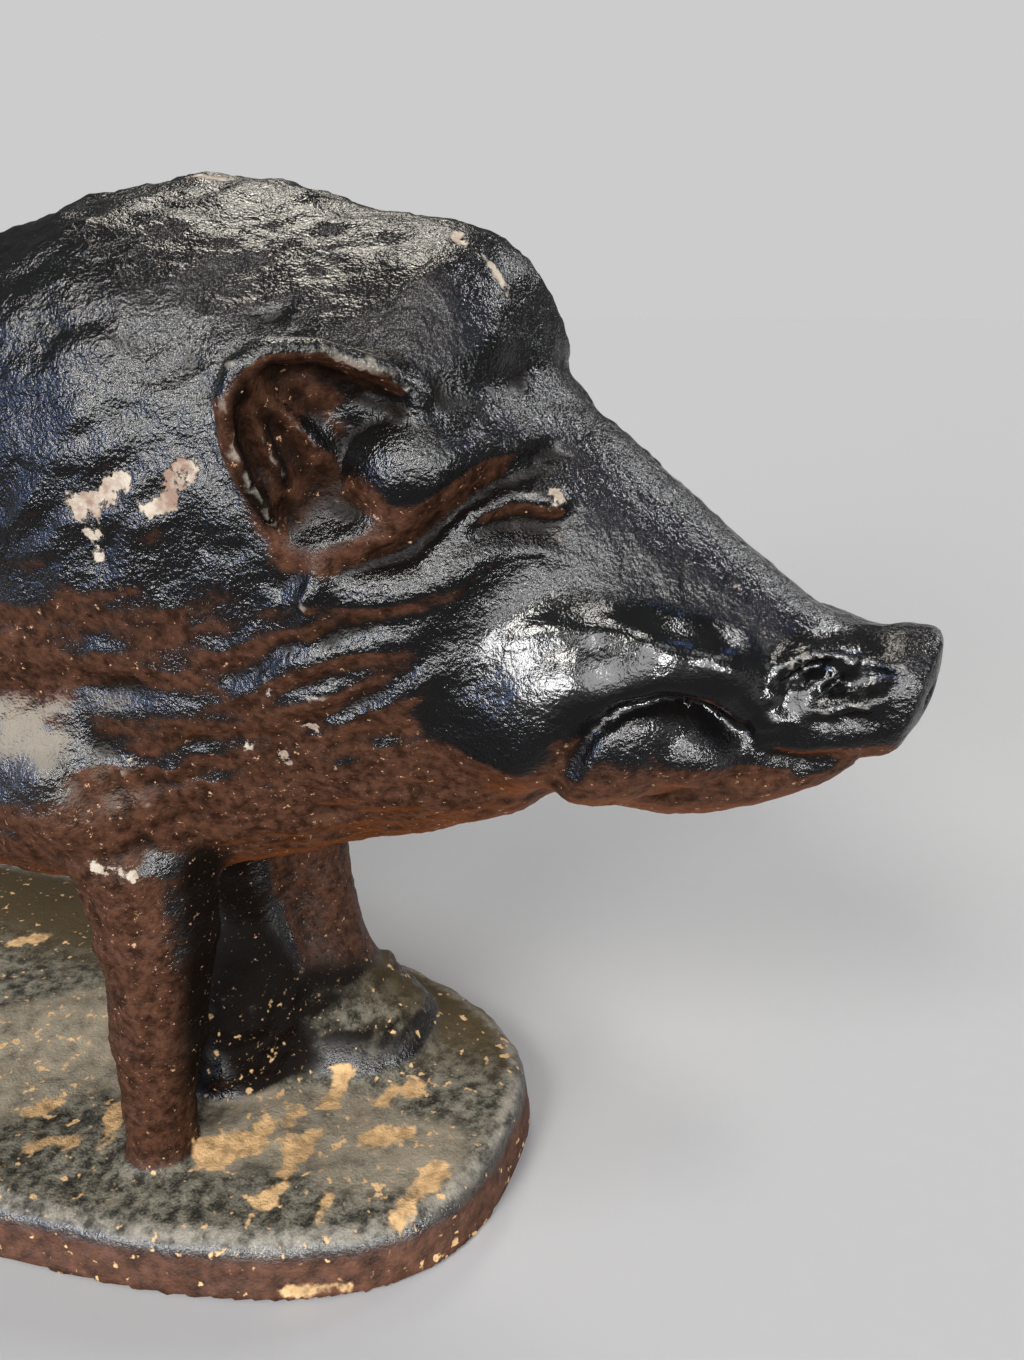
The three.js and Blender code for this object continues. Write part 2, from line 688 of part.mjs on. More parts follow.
// Closes up short edges where the surface is flattest until the goal is met.
// Each vertex keeps the sum of the squared distances to the planes it stands for.
function thin({ points, faces }, goal) {
  const vertexCount = points.length / 3;
  const planes = new Float64Array(vertexCount * 10);
  const around = Array.from({ length: vertexCount }, () => new Set());
  const live = new Uint8Array(faces.length / 3).fill(1);
  const stamp = new Uint32Array(vertexCount);
  const edge1 = [0, 0, 0];
  const edge2 = [0, 0, 0];
  const normal = [0, 0, 0];

  const normalOf = (a, b, c) => {
    for (let n = 0; n < 3; n += 1) {
      edge1[n] = b[n] - a[n];
      edge2[n] = c[n] - a[n];
    }
    normal[0] = edge1[1] * edge2[2] - edge1[2] * edge2[1];
    normal[1] = edge1[2] * edge2[0] - edge1[0] * edge2[2];
    normal[2] = edge1[0] * edge2[1] - edge1[1] * edge2[0];
    return Math.hypot(normal[0], normal[1], normal[2]);
  };
  const placeOf = (vertex) => [points[vertex * 3], points[vertex * 3 + 1], points[vertex * 3 + 2]];

  for (let face = 0; face < live.length; face += 1) {
    const ids = [faces[face * 3], faces[face * 3 + 1], faces[face * 3 + 2]];
    const at = ids.map(placeOf);
    const size = normalOf(...at);
    const [a, b, c] = size > 0 ? normal.map((value) => value / size) : [0, 0, 0];
    const d = -(a * at[0][0] + b * at[0][1] + c * at[0][2]);
    const terms = [a * a, a * b, a * c, a * d, b * b, b * c, b * d, c * c, c * d, d * d];
    const care = at[0][0] > HEAD_START * SHARE ? HEAD_CARE : 1;
    for (const id of ids) {
      around[id].add(face);
      for (let n = 0; n < 10; n += 1) {
        planes[id * 10 + n] += terms[n] * size * 0.5 * care;
      }
    }
  }

  const errorAt = (q, x, y, z) => (
    q[0] * x * x + 2 * q[1] * x * y + 2 * q[2] * x * z + 2 * q[3] * x
    + q[4] * y * y + 2 * q[5] * y * z + 2 * q[6] * y
    + q[7] * z * z + 2 * q[8] * z + q[9]
  );
  const sum = new Float64Array(10);
  const bestPlace = (u, v) => {
    for (let n = 0; n < 10; n += 1) {
      sum[n] = planes[u * 10 + n] + planes[v * 10 + n];
    }
    const pu = placeOf(u);
    const pv = placeOf(v);
    const middle = pu.map((value, n) => (value + pv[n]) / 2);
    const span = Math.hypot(pu[0] - pv[0], pu[1] - pv[1], pu[2] - pv[2]);
    const options = [middle, pu, pv];
    const [a, b, c, d, e, f, g, h, i] = sum;
    const pull = 1e-3 * (a + e + h);
    const m = [a + pull, b, c, e + pull, f, h + pull];
    const right = [-d + pull * middle[0], -g + pull * middle[1], -i + pull * middle[2]];
    const det = m[0] * (m[3] * m[5] - m[4] * m[4]) - m[1] * (m[1] * m[5] - m[4] * m[2])
      + m[2] * (m[1] * m[4] - m[3] * m[2]);
    if (Math.abs(det) > 1e-12) {
      const place = [
        (right[0] * (m[3] * m[5] - m[4] * m[4]) - m[1] * (right[1] * m[5] - m[4] * right[2])
          + m[2] * (right[1] * m[4] - m[3] * right[2])) / det,
        (m[0] * (right[1] * m[5] - right[2] * m[4]) - right[0] * (m[1] * m[5] - m[4] * m[2])
          + m[2] * (m[1] * right[2] - right[1] * m[2])) / det,
        (m[0] * (m[3] * right[2] - m[4] * right[1]) - m[1] * (m[1] * right[2] - right[1] * m[2])
          + right[0] * (m[1] * m[4] - m[3] * m[2])) / det,
      ];
      const shift = Math.hypot(place[0] - middle[0], place[1] - middle[1], place[2] - middle[2]);
      if (shift < 2 * span) {
        options.unshift(place);
      }
    }
    let best = null;
    for (const place of options) {
      const cost = errorAt(sum, ...place);
      if (best === null || cost < best.cost - 1e-9) {
        best = { cost, place };
      }
    }
    best.cost = Math.max(best.cost, 0) + 2e-4 * span * span;
    return best;
  };

  const neighboursOf = (vertex) => {
    const found = new Set();
    for (const face of around[vertex]) {
      for (let n = 0; n < 3; n += 1) {
        found.add(faces[face * 3 + n]);
      }
    }
    found.delete(vertex);
    return found;
  };
  const queue = new Queue();
  const propose = (u, v) => {
    queue.push({ ...bestPlace(u, v), u, v, stampU: stamp[u], stampV: stamp[v] });
  };
  for (let vertex = 0; vertex < vertexCount; vertex += 1) {
    for (const other of neighboursOf(vertex)) {
      if (other > vertex) {
        propose(vertex, other);
      }
    }
  }

  // True when moving the vertex keeps its other faces facing the same way and not needle thin.
  const keepsShape = (vertex, other, place) => {
    for (const face of around[vertex]) {
      const ids = [faces[face * 3], faces[face * 3 + 1], faces[face * 3 + 2]];
      if (ids.includes(other)) {
        continue;
      }
      const before = ids.map(placeOf);
      const after = ids.map((id, n) => (id === vertex ? place : before[n]));
      const sizeBefore = normalOf(...before);
      const was = [...normal];
      const sizeAfter = normalOf(...after);
      const turn = was[0] * normal[0] + was[1] * normal[1] + was[2] * normal[2];
      if (turn < 0.25 * sizeBefore * sizeAfter) {
        return false;
      }
      const longest = Math.max(...after.map((p, n) => {
        const q = after[(n + 1) % 3];
        return Math.hypot(p[0] - q[0], p[1] - q[1], p[2] - q[2]);
      }));
      if (sizeAfter < 0.07 * longest * longest) {
        return false;
      }
    }
    return true;
  };

  let count = live.length;
  while (count > goal && queue.items.length > 0) {
    const { u, v, place, stampU, stampV } = queue.pop();
    if (stampU !== stamp[u] || stampV !== stamp[v]) {
      continue;
    }
    const nextToU = neighboursOf(u);
    const nextToV = neighboursOf(v);
    const shared = [...nextToU].filter((id) => nextToV.has(id));
    if (shared.length !== 2 || !keepsShape(u, v, place) || !keepsShape(v, u, place)) {
      continue;
    }
    for (const face of [...around[v]]) {
      const ids = [faces[face * 3], faces[face * 3 + 1], faces[face * 3 + 2]];
      if (ids.includes(u)) {
        live[face] = 0;
        count -= 1;
        for (const id of ids) {
          around[id].delete(face);
        }
      } else {
        faces[face * 3 + ids.indexOf(v)] = u;
        around[u].add(face);
      }
    }
    around[v].clear();
    for (let n = 0; n < 3; n += 1) {
      points[u * 3 + n] = place[n];
    }
    for (let n = 0; n < 10; n += 1) {
      planes[u * 10 + n] += planes[v * 10 + n];
    }
    stamp[u] += 1;
    stamp[v] += 1;
    for (const other of neighboursOf(u)) {
      propose(u, other);
    }
  }

  const kept = [];
  for (let face = 0; face < live.length; face += 1) {
    if (live[face]) {
      kept.push(faces[face * 3], faces[face * 3 + 1], faces[face * 3 + 2]);
    }
  }
  return { points, faces: kept };
}

function toGeometry({ points, faces }) {
  const geometry = new THREE.BufferGeometry();
  geometry.setAttribute("position", new THREE.Float32BufferAttribute(points, 3));
  geometry.setIndex(faces);
  return geometry;
}

const wasm = await Module();
wasm.setup();

function toManifold(geometry) {
  const bare = new THREE.BufferGeometry();
  bare.setAttribute("position", geometry.getAttribute("position"));
  bare.setIndex(geometry.getIndex());
  const merged = mergeVertices(bare, 1e-4);
  return new wasm.Manifold(new wasm.Mesh({
    numProp: 3,
    vertProperties: new Float32Array(merged.getAttribute("position").array),
    triVerts: new Uint32Array(merged.getIndex().array),
  }));
}

function fromManifold(solid) {
  const mesh = solid.getMesh();
  const geometry = new THREE.BufferGeometry();
  geometry.setAttribute("position", new THREE.Float32BufferAttribute(mesh.vertProperties, 3));
  geometry.setIndex([...mesh.triVerts]);
  geometry.computeVertexNormals();
  return geometry;
}

// The skin runs a little below the table line and is then cut flat.
const BELOW = 3;
// How far the figure reaches each way from its origin, in shares.
const chainTails = CHAINS.flatMap(({ points }) => points.map(([along, , , radius]) => radius - along));
const behind = Math.max(-RUMP_END, ...chainTails) + SAMPLE_ROOM;
const ahead = SNOUT_FACE.at[0] + SAMPLE_ROOM;
const aside = EAR.at[1] + Math.max(...EAR.rim.map(([back]) => back * EAR_BACK[1])) + SAMPLE_ROOM;
const above = Math.max(...TOP_LINE.map(([, up]) => up)) + SAMPLE_ROOM;
const halfSpan = Math.max(PLINTH_WIDTH / 2, SHARE * aside) + 3;
const low = [-Math.max(PLINTH_LENGTH / 2, SHARE * behind) - 3, -halfSpan, -BELOW - 1.5];
const high = [
  Math.max(PLINTH_LENGTH / 2 + 3, SHARE * ahead),
  halfSpan,
  PLINTH_THICKNESS + SHARE * above,
];
const field = (x, y, z) => Math.max(casting(x, y, z), -BELOW - z);
const surface = thin(skin(field, low, high, SAMPLE_STEP), TRIANGLE_GOAL);
const table = new THREE.BoxGeometry(PLINTH_LENGTH * 2, PLINTH_WIDTH * 2, 20);
table.translate(0, 0, -10);
const solid = toManifold(toGeometry(surface)).subtract(toManifold(table));

const blackIron = new THREE.MeshStandardMaterial({ color: 0x1c1a19, roughness: 0.32, metalness: 0.9 });
blackIron.name = "black_painted_iron";
const boar = new THREE.Mesh(fromManifold(solid), blackIron);
boar.name = "boar_on_plinth";

const group = new THREE.Group();
group.add(boar);
export default group;
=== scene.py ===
"""Cast-iron boar standing on its plinth, painted glossy black and worn with handling.

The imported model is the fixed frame. The casting's skin is worked out here again, finer and
with its grain, tufts and folds, from the same sizes. Blender's scene is in metres. The form
is in millimetres, and the figure in shares, which are hundredths of the standing height.
+X runs toward the snout, +Y is the boar's left side, +Z is up.
"""

from __future__ import annotations

import logging
import math
from dataclasses import dataclass, field
from enum import Enum
from functools import partial
from itertools import product

import bmesh
import bpy
import numpy as np
from mathutils import Matrix, Vector


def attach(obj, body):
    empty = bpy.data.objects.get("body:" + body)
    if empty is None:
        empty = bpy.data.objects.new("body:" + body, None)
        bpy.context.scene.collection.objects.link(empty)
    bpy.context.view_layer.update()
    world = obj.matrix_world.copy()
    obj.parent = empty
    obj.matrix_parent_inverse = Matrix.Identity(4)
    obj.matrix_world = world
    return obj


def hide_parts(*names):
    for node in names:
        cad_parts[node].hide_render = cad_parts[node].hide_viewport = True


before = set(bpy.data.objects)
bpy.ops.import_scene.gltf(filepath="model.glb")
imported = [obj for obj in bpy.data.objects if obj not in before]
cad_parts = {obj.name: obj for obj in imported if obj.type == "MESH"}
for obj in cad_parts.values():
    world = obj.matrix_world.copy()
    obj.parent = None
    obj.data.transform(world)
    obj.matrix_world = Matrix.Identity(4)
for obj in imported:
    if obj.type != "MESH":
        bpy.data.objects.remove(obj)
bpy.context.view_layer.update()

LOG = logging.getLogger("boar")
MM = 0.001
Array = np.ndarray
Point = tuple[float, float, float]
Spot = tuple[float, float]


# Small helpers


def smooth_union(a: Array, b: Array, blend: float) -> Array:
    """Joins two distance fields with a soft fillet.

    Args:
        a: First field.
        b: Second field.
        blend: Width of the fillet, in the fields' own unit.

    Returns:
        The joined field.
    """
    overlap = np.maximum(blend - np.abs(a - b), 0.0)
    return np.minimum(a, b) - overlap * overlap / (4.0 * blend)


def smooth_cut(body: Array, tool: Array, blend: float) -> Array:
    """Cuts one distance field out of another with a soft edge.

    Args:
        body: Field of what is kept.
        tool: Field of what is taken away.
        blend: Width of the rounded edge.

    Returns:
        The cut field.
    """
    return -smooth_union(-body, tool, blend)


def ease(value: Array, low: float, high: float) -> Array:
    """Runs smoothly from 0 at low to 1 at high; low may be the larger.

    Args:
        value: Numbers to ease.
        low: Where the result is 0.
        high: Where the result is 1.

    Returns:
        Numbers from 0 to 1.
    """
    t = np.clip((value - low) / (high - low), 0.0, 1.0)
    return t * t * (3.0 - 2.0 * t)


def linear(hex_colour: str, alpha: float = 1.0) -> tuple[float, float, float, float]:
    """Turns an sRGB hex colour to the linear colour that a socket takes.

    Args:
        hex_colour: Six hex digits, with or without a leading hash.
        alpha: Opacity.

    Returns:
        Red, green, blue and alpha, linear.
    """
    digits = hex_colour.lstrip("#")
    channels = [int(digits[i : i + 2], 16) / 255.0 for i in (0, 2, 4)]
    curved = [c / 12.92 if c <= 0.04045 else ((c + 0.055) / 1.055) ** 2.4 for c in channels]
    return (curved[0], curved[1], curved[2], alpha)


def unit(vectors: Array) -> Array:
    """Scales each row to length one."""
    return vectors / np.maximum(np.linalg.norm(vectors, axis=1, keepdims=True), 1e-9)


# Noise on the surface


def _scramble(cells: Array, seed: int) -> Array:
    """Gives each whole-number cell a fixed number from 0 to 1.

    Args:
        cells: Whole-number cell coordinates, one row each.
        seed: Which set of numbers.

    Returns:
        One number a row.
    """
    c = cells.astype(np.int64).astype(np.uint64)
    with np.errstate(over="ignore"):
        key = c[:, 0] * np.uint64(73856093) ^ c[:, 1] * np.uint64(19349663)
        key = key ^ (c[:, 2] * np.uint64(83492791)) ^ np.uint64(seed * 2654435761 + 97)
        key = (key ^ (key >> np.uint64(33))) * np.uint64(0xFF51AFD7ED558CCD)
        key = (key ^ (key >> np.uint64(33))) * np.uint64(0xC4CEB9FE1A85EC53)
    return ((key >> np.uint64(40)) & np.uint64(0xFFFFFF)).astype(float) / float(0xFFFFFF)


def soft_noise(points: Array, seed: int) -> Array:
    """Smooth noise with features about one unit wide.

    Args:
        points: Places, already divided by the feature size.
        seed: Which noise.

    Returns:
        Numbers from -1 to 1.
    """
    cell = np.floor(points)
    part = points - cell
    part = part * part * part * (part * (part * 6.0 - 15.0) + 10.0)
    total = np.zeros(len(points))
    for corner in product((0, 1), repeat=3):
        weight = np.ones(len(points))
        for axis, step in enumerate(corner):
            weight = weight * (part[:, axis] if step else 1.0 - part[:, axis])
        total += weight * _scramble(cell + np.array(corner), seed)
    return 2.0 * total - 1.0


def pebbles(points: Array, seed: int) -> Array:
    """Rounded bumps about one unit apart: 1 on each crest, falling to 0 between them.

    Args:
        points: Places, already divided by the bump spacing.
        seed: Which set of bumps.

    Returns:
        Heights from 0 to 1.
    """
    cell = np.floor(points)
    nearest = np.full(len(points), 9.0)
    for corner in product((-1, 0, 1), repeat=3):
        home = cell + np.array(corner)
        centre = home + np.stack([_scramble(home, seed + n) for n in range(3)], axis=1)
        nearest = np.minimum(nearest, ((points - centre) ** 2).sum(axis=1))
    return np.clip(1.0 - np.sqrt(nearest), 0.0, 1.0)


# Parts of the form


class Side(Enum):
    """Which side of the boar a form sits on."""

    BOTH = 0
    NEAR = -1
    FAR = 1

    def offset(self, y: Array) -> Array:
        """Distance out from the middle plane toward this side."""
        return np.abs(y) if self is Side.BOTH else y * self.value


class Profile:
    """A smooth curve through knots that doesn't overshoot between them."""

    def __init__(self, *knots: Spot) -> None:
        """Fits the curve.

        Args:
            *knots: Place along and value, in rising order of place.
        """
        place, value = np.array(knots, float).T
        width = np.diff(place)
        rise = np.diff(value) / width
        both = rise[:-1] * rise[1:]
        inner = np.where(both > 0, 2 * both / np.where(both > 0, rise[:-1] + rise[1:], 1.0), 0.0)
        slope = np.concatenate([[0.0], inner, [0.0]])
        self.places = np.linspace(place[0], place[-1], 4001)
        i = np.clip(np.searchsorted(place, self.places, side="right") - 1, 0, len(width) - 1)
        t = (self.places - place[i]) / width[i]
        u = 1 - t
        self.values = (
            value[i] * (1 + 2 * t) * u * u
            + value[i + 1] * t * t * (3 - 2 * t)
            + width[i] * t * u * (slope[i] * u - slope[i + 1] * t)
        )

    def __call__(self, x: Array) -> Array:
        """Value at each place."""
        return np.interp(x, self.places, self.values)


@dataclass(frozen=True)
class Mass:
    """A rounded mass of flesh or ground, in shares."""

    name: str
    at: Point
    radii: Point
    blend: float
    lean: float = 0.0
    side: Side = Side.BOTH

    def distance(self, x: Array, y: Array, z: Array) -> Array:
        """Distance to the mass.

        Args:
            x: Places along.
            y: Places out from the middle plane on the mass's own side.
            z: Places up.

        Returns:
            Signed distances, negative inside.
        """
        lean = math.radians(self.lean)
        dx, dz = x - self.at[0], z - self.at[2]
        a = (dx * math.cos(lean) - dz * math.sin(lean)) / self.radii[0]
        b = (y - self.at[1]) / self.radii[1]
        c = (dx * math.sin(lean) + dz * math.cos(lean)) / self.radii[2]
        size = np.sqrt(a * a + b * b + c * c)
        slope = np.sqrt((a / self.radii[0]) ** 2 + (b / self.radii[1]) ** 2 + (c / self.radii[2]) ** 2)
        return size * (size - 1) / np.maximum(slope, 1e-6)

    def join(self, body: Array, x: Array, y: Array, z: Array) -> None:
        """Blends the mass into the body, in place.

        Args:
            body: Field of the body so far.
            x: Places along.
            y: Places across.
            z: Places up.
        """
        own = self.side.offset(y)
        reach = max(self.radii) + self.blend + 4
        gap = (x - self.at[0]) ** 2 + (own - self.at[1]) ** 2 + (z - self.at[2]) ** 2
        near = np.flatnonzero(gap < reach * reach)
        shape = self.distance(x[near], own[near], z[near])
        body[near] = smooth_union(body[near], shape, self.blend)


@dataclass(frozen=True)
class Chain:
    """A limb, fold or ridge: points with a radius at each, in shares."""

    name: str
    side: Side
    blend: float
    points: tuple[tuple[float, float, float, float], ...]

    def join(self, body: Array, x: Array, y: Array, z: Array) -> None:
        """Blends the chain into the body, in place.

        Args:
            body: Field of the body so far.
            x: Places along.
            y: Places across.
            z: Places up.
        """
        own = self.side.offset(y)
        knots = np.array(self.points)
        reach = knots[:, 3].max() + self.blend + 4
        low, high = knots[:, :3].min(axis=0) - reach, knots[:, :3].max(axis=0) + reach
        inside = (x > low[0]) & (x < high[0]) & (own > low[1]) & (own < high[1])
        near = np.flatnonzero(inside & (z > low[2]) & (z < high[2]))
        places = np.stack([x[near], own[near], z[near]], axis=1)
        best = None
        for a, b in zip(knots[:-1], knots[1:]):
            run = b[:3] - a[:3]
            t = np.clip((places - a[:3]) @ run / (run @ run), 0.0, 1.0)
            gap = np.linalg.norm(places - a[:3] - t[:, None] * run, axis=1) - (a[3] + (b[3] - a[3]) * t)
            best = gap if best is None else smooth_union(best, gap, 1.0)
        body[near] = smooth_union(body[near], best, self.blend)


@dataclass(frozen=True)
class Stroke:
    """A crease, or with a negative depth a raised fold, drawn on a plane."""

    name: str
    depth: float
    width: float
    points: tuple[Spot, ...]

    def cut(self, body: Array, u: Array, v: Array, share: Array | float = 1.0) -> None:
        """Sinks or raises the surface along the stroke, in place.

        Args:
            body: Field to change.
            u: First coordinate on the stroke's plane.
            v: Second coordinate on the stroke's plane.
            share: How much of the depth counts at each place.
        """
        knots = np.array(self.points)
        reach = self.width * 2.4
        low, high = knots.min(axis=0) - reach, knots.max(axis=0) + reach
        near = np.flatnonzero((u > low[0]) & (u < high[0]) & (v > low[1]) & (v < high[1]))
        spans = len(knots) - 1
        nearest = np.full(len(near), np.inf)
        place = np.zeros(len(near))
        for i, (a, b) in enumerate(zip(knots[:-1], knots[1:])):
            run = b - a
            du, dv = u[near] - a[0], v[near] - a[1]
            t = np.clip((du * run[0] + dv * run[1]) / (run @ run), 0.0, 1.0)
            gap = np.hypot(du - run[0] * t, dv - run[1] * t)
            place = np.where(gap < nearest, (i + t) / spans, place)
            nearest = np.minimum(nearest, gap)
        taper = np.sqrt(np.sin(np.pi * (0.03 + 0.94 * place)))
        weight = share[near] if isinstance(share, np.ndarray) else share
        body[near] += weight * self.depth * taper * np.exp(-((nearest / self.width) ** 2))


@dataclass(frozen=True)
class Ear:
    """A cupped leaf in its own plane, open forward and outward, in shares."""

    at: Point = (64.2, 21.6, 80.0)
    reach: float = 16.1
    rim: tuple[Spot, ...] = (
        (-8.4, 2.8), (-5.6, 5.2), (-0.4, 7), (3.4, 7), (6.2, 5.6), (7.2, 3), (7, -0.4),
        (6, -3.2), (4.4, -5.8), (2, -8), (-1.8, -5.8), (-4.6, -2),
    )
    facing: float = 46.0
    droop: float = 6.5
    # The leaf: how far back its middle lies, its thickness, edge rounding and narrowing behind.
    set_back: float = 3.4
    thickness: float = 8.8
    rounding: float = 1.1
    narrowing: float = 0.42
    depth: float = 4.4
    wall: float = 1.5
    # The cup opens into the head low in front: how far the rim steps back there, which way in
    # the leaf's plane, over what stretch that way, and below what height.
    opening: float = 3.0
    opening_toward: Spot = (-0.72, -0.69)
    opening_stretch: Spot = (0.4, 3.8)
    opening_below: Spot = (2.4, -0.6)
    folds: tuple[Stroke, ...] = (
        Stroke("upper groove", 2, 0.9, ((4.6, 4.9), (-0.4, 4.9), (-3.9, 3.7), (-6.6, 2))),
        Stroke("front fold", -1.5, 0.8, ((4.8, 4.2), (1.4, 0.9), (-1.6, -2.4))),
        Stroke("back fold", -1.2, 0.7, ((5.2, 3), (3.2, -1), (1.4, -4.5))),
        Stroke("back groove", 1.8, 0.8, ((5.9, 3.5), (5.4, 0.3), (4.2, -3.3), (2.6, -6))),
    )

    def outline(self, u: Array, v: Array) -> Array:
        """Distance to the leaf's rim in its own plane.

        Args:
            u: Places toward the back.
            v: Places up.

        Returns:
            Signed distances, negative inside the rim.
        """
        nearest = np.full(len(u), np.inf)
        inside = np.zeros(len(u), bool)
        rim = np.array(self.rim)
        for a, b in zip(rim, np.roll(rim, -1, axis=0)):
            run = b - a
            t = np.clip(((u - a[0]) * run[0] + (v - a[1]) * run[1]) / (run @ run), 0.0, 1.0)
            nearest = np.minimum(nearest, np.hypot(u - a[0] - run[0] * t, v - a[1] - run[1] * t))
            if a[1] != b[1]:
                between = (a[1] > v) != (b[1] > v)
                inside ^= between & (u < a[0] + run[0] * (v - a[1]) / run[1])
        return np.where(inside, -nearest, nearest)

    def join(self, body: Array, x: Array, y: Array, z: Array) -> None:
        """Adds the leaf to both sides of the head and hollows it, in place.

        Args:
            body: Field of the body so far.
            x: Places along.
            y: Places across.
            z: Places up.
        """
        off = np.abs(y)
        dx, dy, dz = x - self.at[0], off - self.at[1], z - self.at[2]
        near = np.flatnonzero(np.sqrt(dx * dx + dy * dy + dz * dz) <= self.reach)
        dx, dy, dz = dx[near], dy[near], dz[near]
        turn, drop = math.radians(self.facing), math.radians(self.droop)
        level = dx * math.cos(turn) + dy * math.sin(turn)
        out = level * math.cos(drop) - dz * math.sin(drop)
        up = level * math.sin(drop) + dz * math.cos(drop)
        back = -dx * math.sin(turn) + dy * math.cos(turn)
        edge = self.outline(back, up)
        forward = self.opening_toward[0] * back + self.opening_toward[1] * up
        opened = self.opening * ease(forward, *self.opening_stretch) * ease(up, *self.opening_below)
        rim = edge + self.narrowing * np.maximum(-out - 1, 0) + self.rounding
        face = np.abs(out + self.set_back + opened) - self.thickness / 2 + self.rounding
        leaf = np.hypot(np.maximum(rim, 0), np.maximum(face, 0))
        leaf += np.minimum(np.maximum(rim, face), 0) - self.rounding
        wall = self.wall - opened
        inset = np.maximum(-edge - wall, 0)
        floor = 1 - self.depth * (1 - np.exp(-inset / 1.3))
        lift = np.zeros(len(near))
        for fold in self.folds:
            fold.cut(lift, back, up)
        floor = floor - lift
        cup = np.maximum(np.maximum(edge + wall - 0.3, floor - out), out - 5)
        body[near] = smooth_cut(smooth_union(body[near], leaf, 2.0), cup, 0.7)


def _strokes(*rows: tuple[str, float, float, tuple[Spot, ...]]) -> tuple[Stroke, ...]:
    """Makes strokes from rows of name, depth, width and points."""
    return tuple(Stroke(*row) for row in rows)


FOLDS = _strokes(
    ("eye crease", 2, 1.1, (
        (76.4, 76.9), (73.7, 75.6), (71, 73.6), (68.9, 71.6), (66.4, 70.6), (63.9, 70),
    )),
    ("upper lid", -0.7, 0.9, ((72.8, 74), (75.2, 75.3), (77.8, 75.6), (80.8, 74.4))),
    ("lower lid", 0.8, 0.9, ((72.2, 71.9), (74.2, 73), (76.4, 73.4), (79, 72.6))),
    ("brow valley", 1, 1.8, ((69.6, 82.4), (72.4, 82.6), (75, 84.6))),
    ("cheek ridge", -0.5, 1.2, ((76.4, 64.4), (80, 65.8), (84, 66.2), (88, 65.2), (92, 63.6), (95, 62))),
    ("muzzle hollow", 0.3, 2, ((83.4, 70.4), (88, 68), (92, 66), (95.4, 64))),
    ("lip crease", 1.7, 0.8, (
        (81.8, 54.4), (83.4, 57.8), (85.6, 59.6), (88.4, 60.1), (91.2, 59), (94.4, 56.4),
    )),
    ("jaw edge", 1.1, 1.6, ((83, 58.4), (80.8, 54.4), (78.8, 50), (77.6, 45))),
    ("mouth slit", 1.3, 0.8, ((96, 54.8), (98.8, 53.8), (102, 54.2))),
    ("nostril ridge", -0.7, 0.8, ((96, 62), (97.9, 63.2), (100.2, 62.8), (103, 63))),
    ("nostril groove", 0.9, 0.8, ((97, 58.8), (99.7, 60.9), (102.1, 60.3), (104.4, 61.2))),
    ("snout fold", -0.6, 0.8, ((95.6, 57.4), (98.5, 58.2), (102, 58.4))),
    ("lip end", 0.4, 0.8, ((95.4, 62), (95.8, 57))),
    ("fold under the eye", -0.8, 1.3, ((64, 67), (69, 68), (71.7, 68.8), (75, 71.4))),
    ("first groove", 0.6, 1.2, ((54, 60.8), (60, 63.6), (65, 65.2), (71, 67))),
    ("first fold", -0.7, 1.2, ((53, 57.6), (59.5, 61.6), (63.4, 62.9), (69, 64.4))),
    ("second groove", 0.5, 1, ((56, 57.8), (62, 60.8), (68, 62.4))),
    ("second fold", -0.6, 1.2, ((52, 54.8), (57, 57.6), (62.4, 59.8), (66.6, 61))),
    ("third groove", 0.4, 1, ((57, 55.4), (62, 57.6), (66, 59.4))),
    ("third fold", -0.6, 1.1, ((65.6, 57), (68.6, 59.6), (72, 62.6))),
    ("fin", -1.1, 0.9, ((63.8, 72), (62.5, 68.7), (61.3, 64))),
    ("shoulder ledge", 1.3, 1.8, ((18, 55.6), (29, 56.2), (37, 57.4), (46, 58.6))),
    ("elbow crease", 0.9, 2.2, ((22, 39.4), (29, 40.6), (36, 41))),
    ("outer foreleg groove", 1, 1.2, ((36.6, 52), (38.5, 47.1), (39.4, 40.6))),
    ("inner foreleg groove", 0.9, 1.2, ((39.4, 53), (40.9, 46.6), (41.6, 40.4))),
    ("flank fold", 0.9, 2.4, ((-32, 64), (-30, 52), (-32, 38))),
)

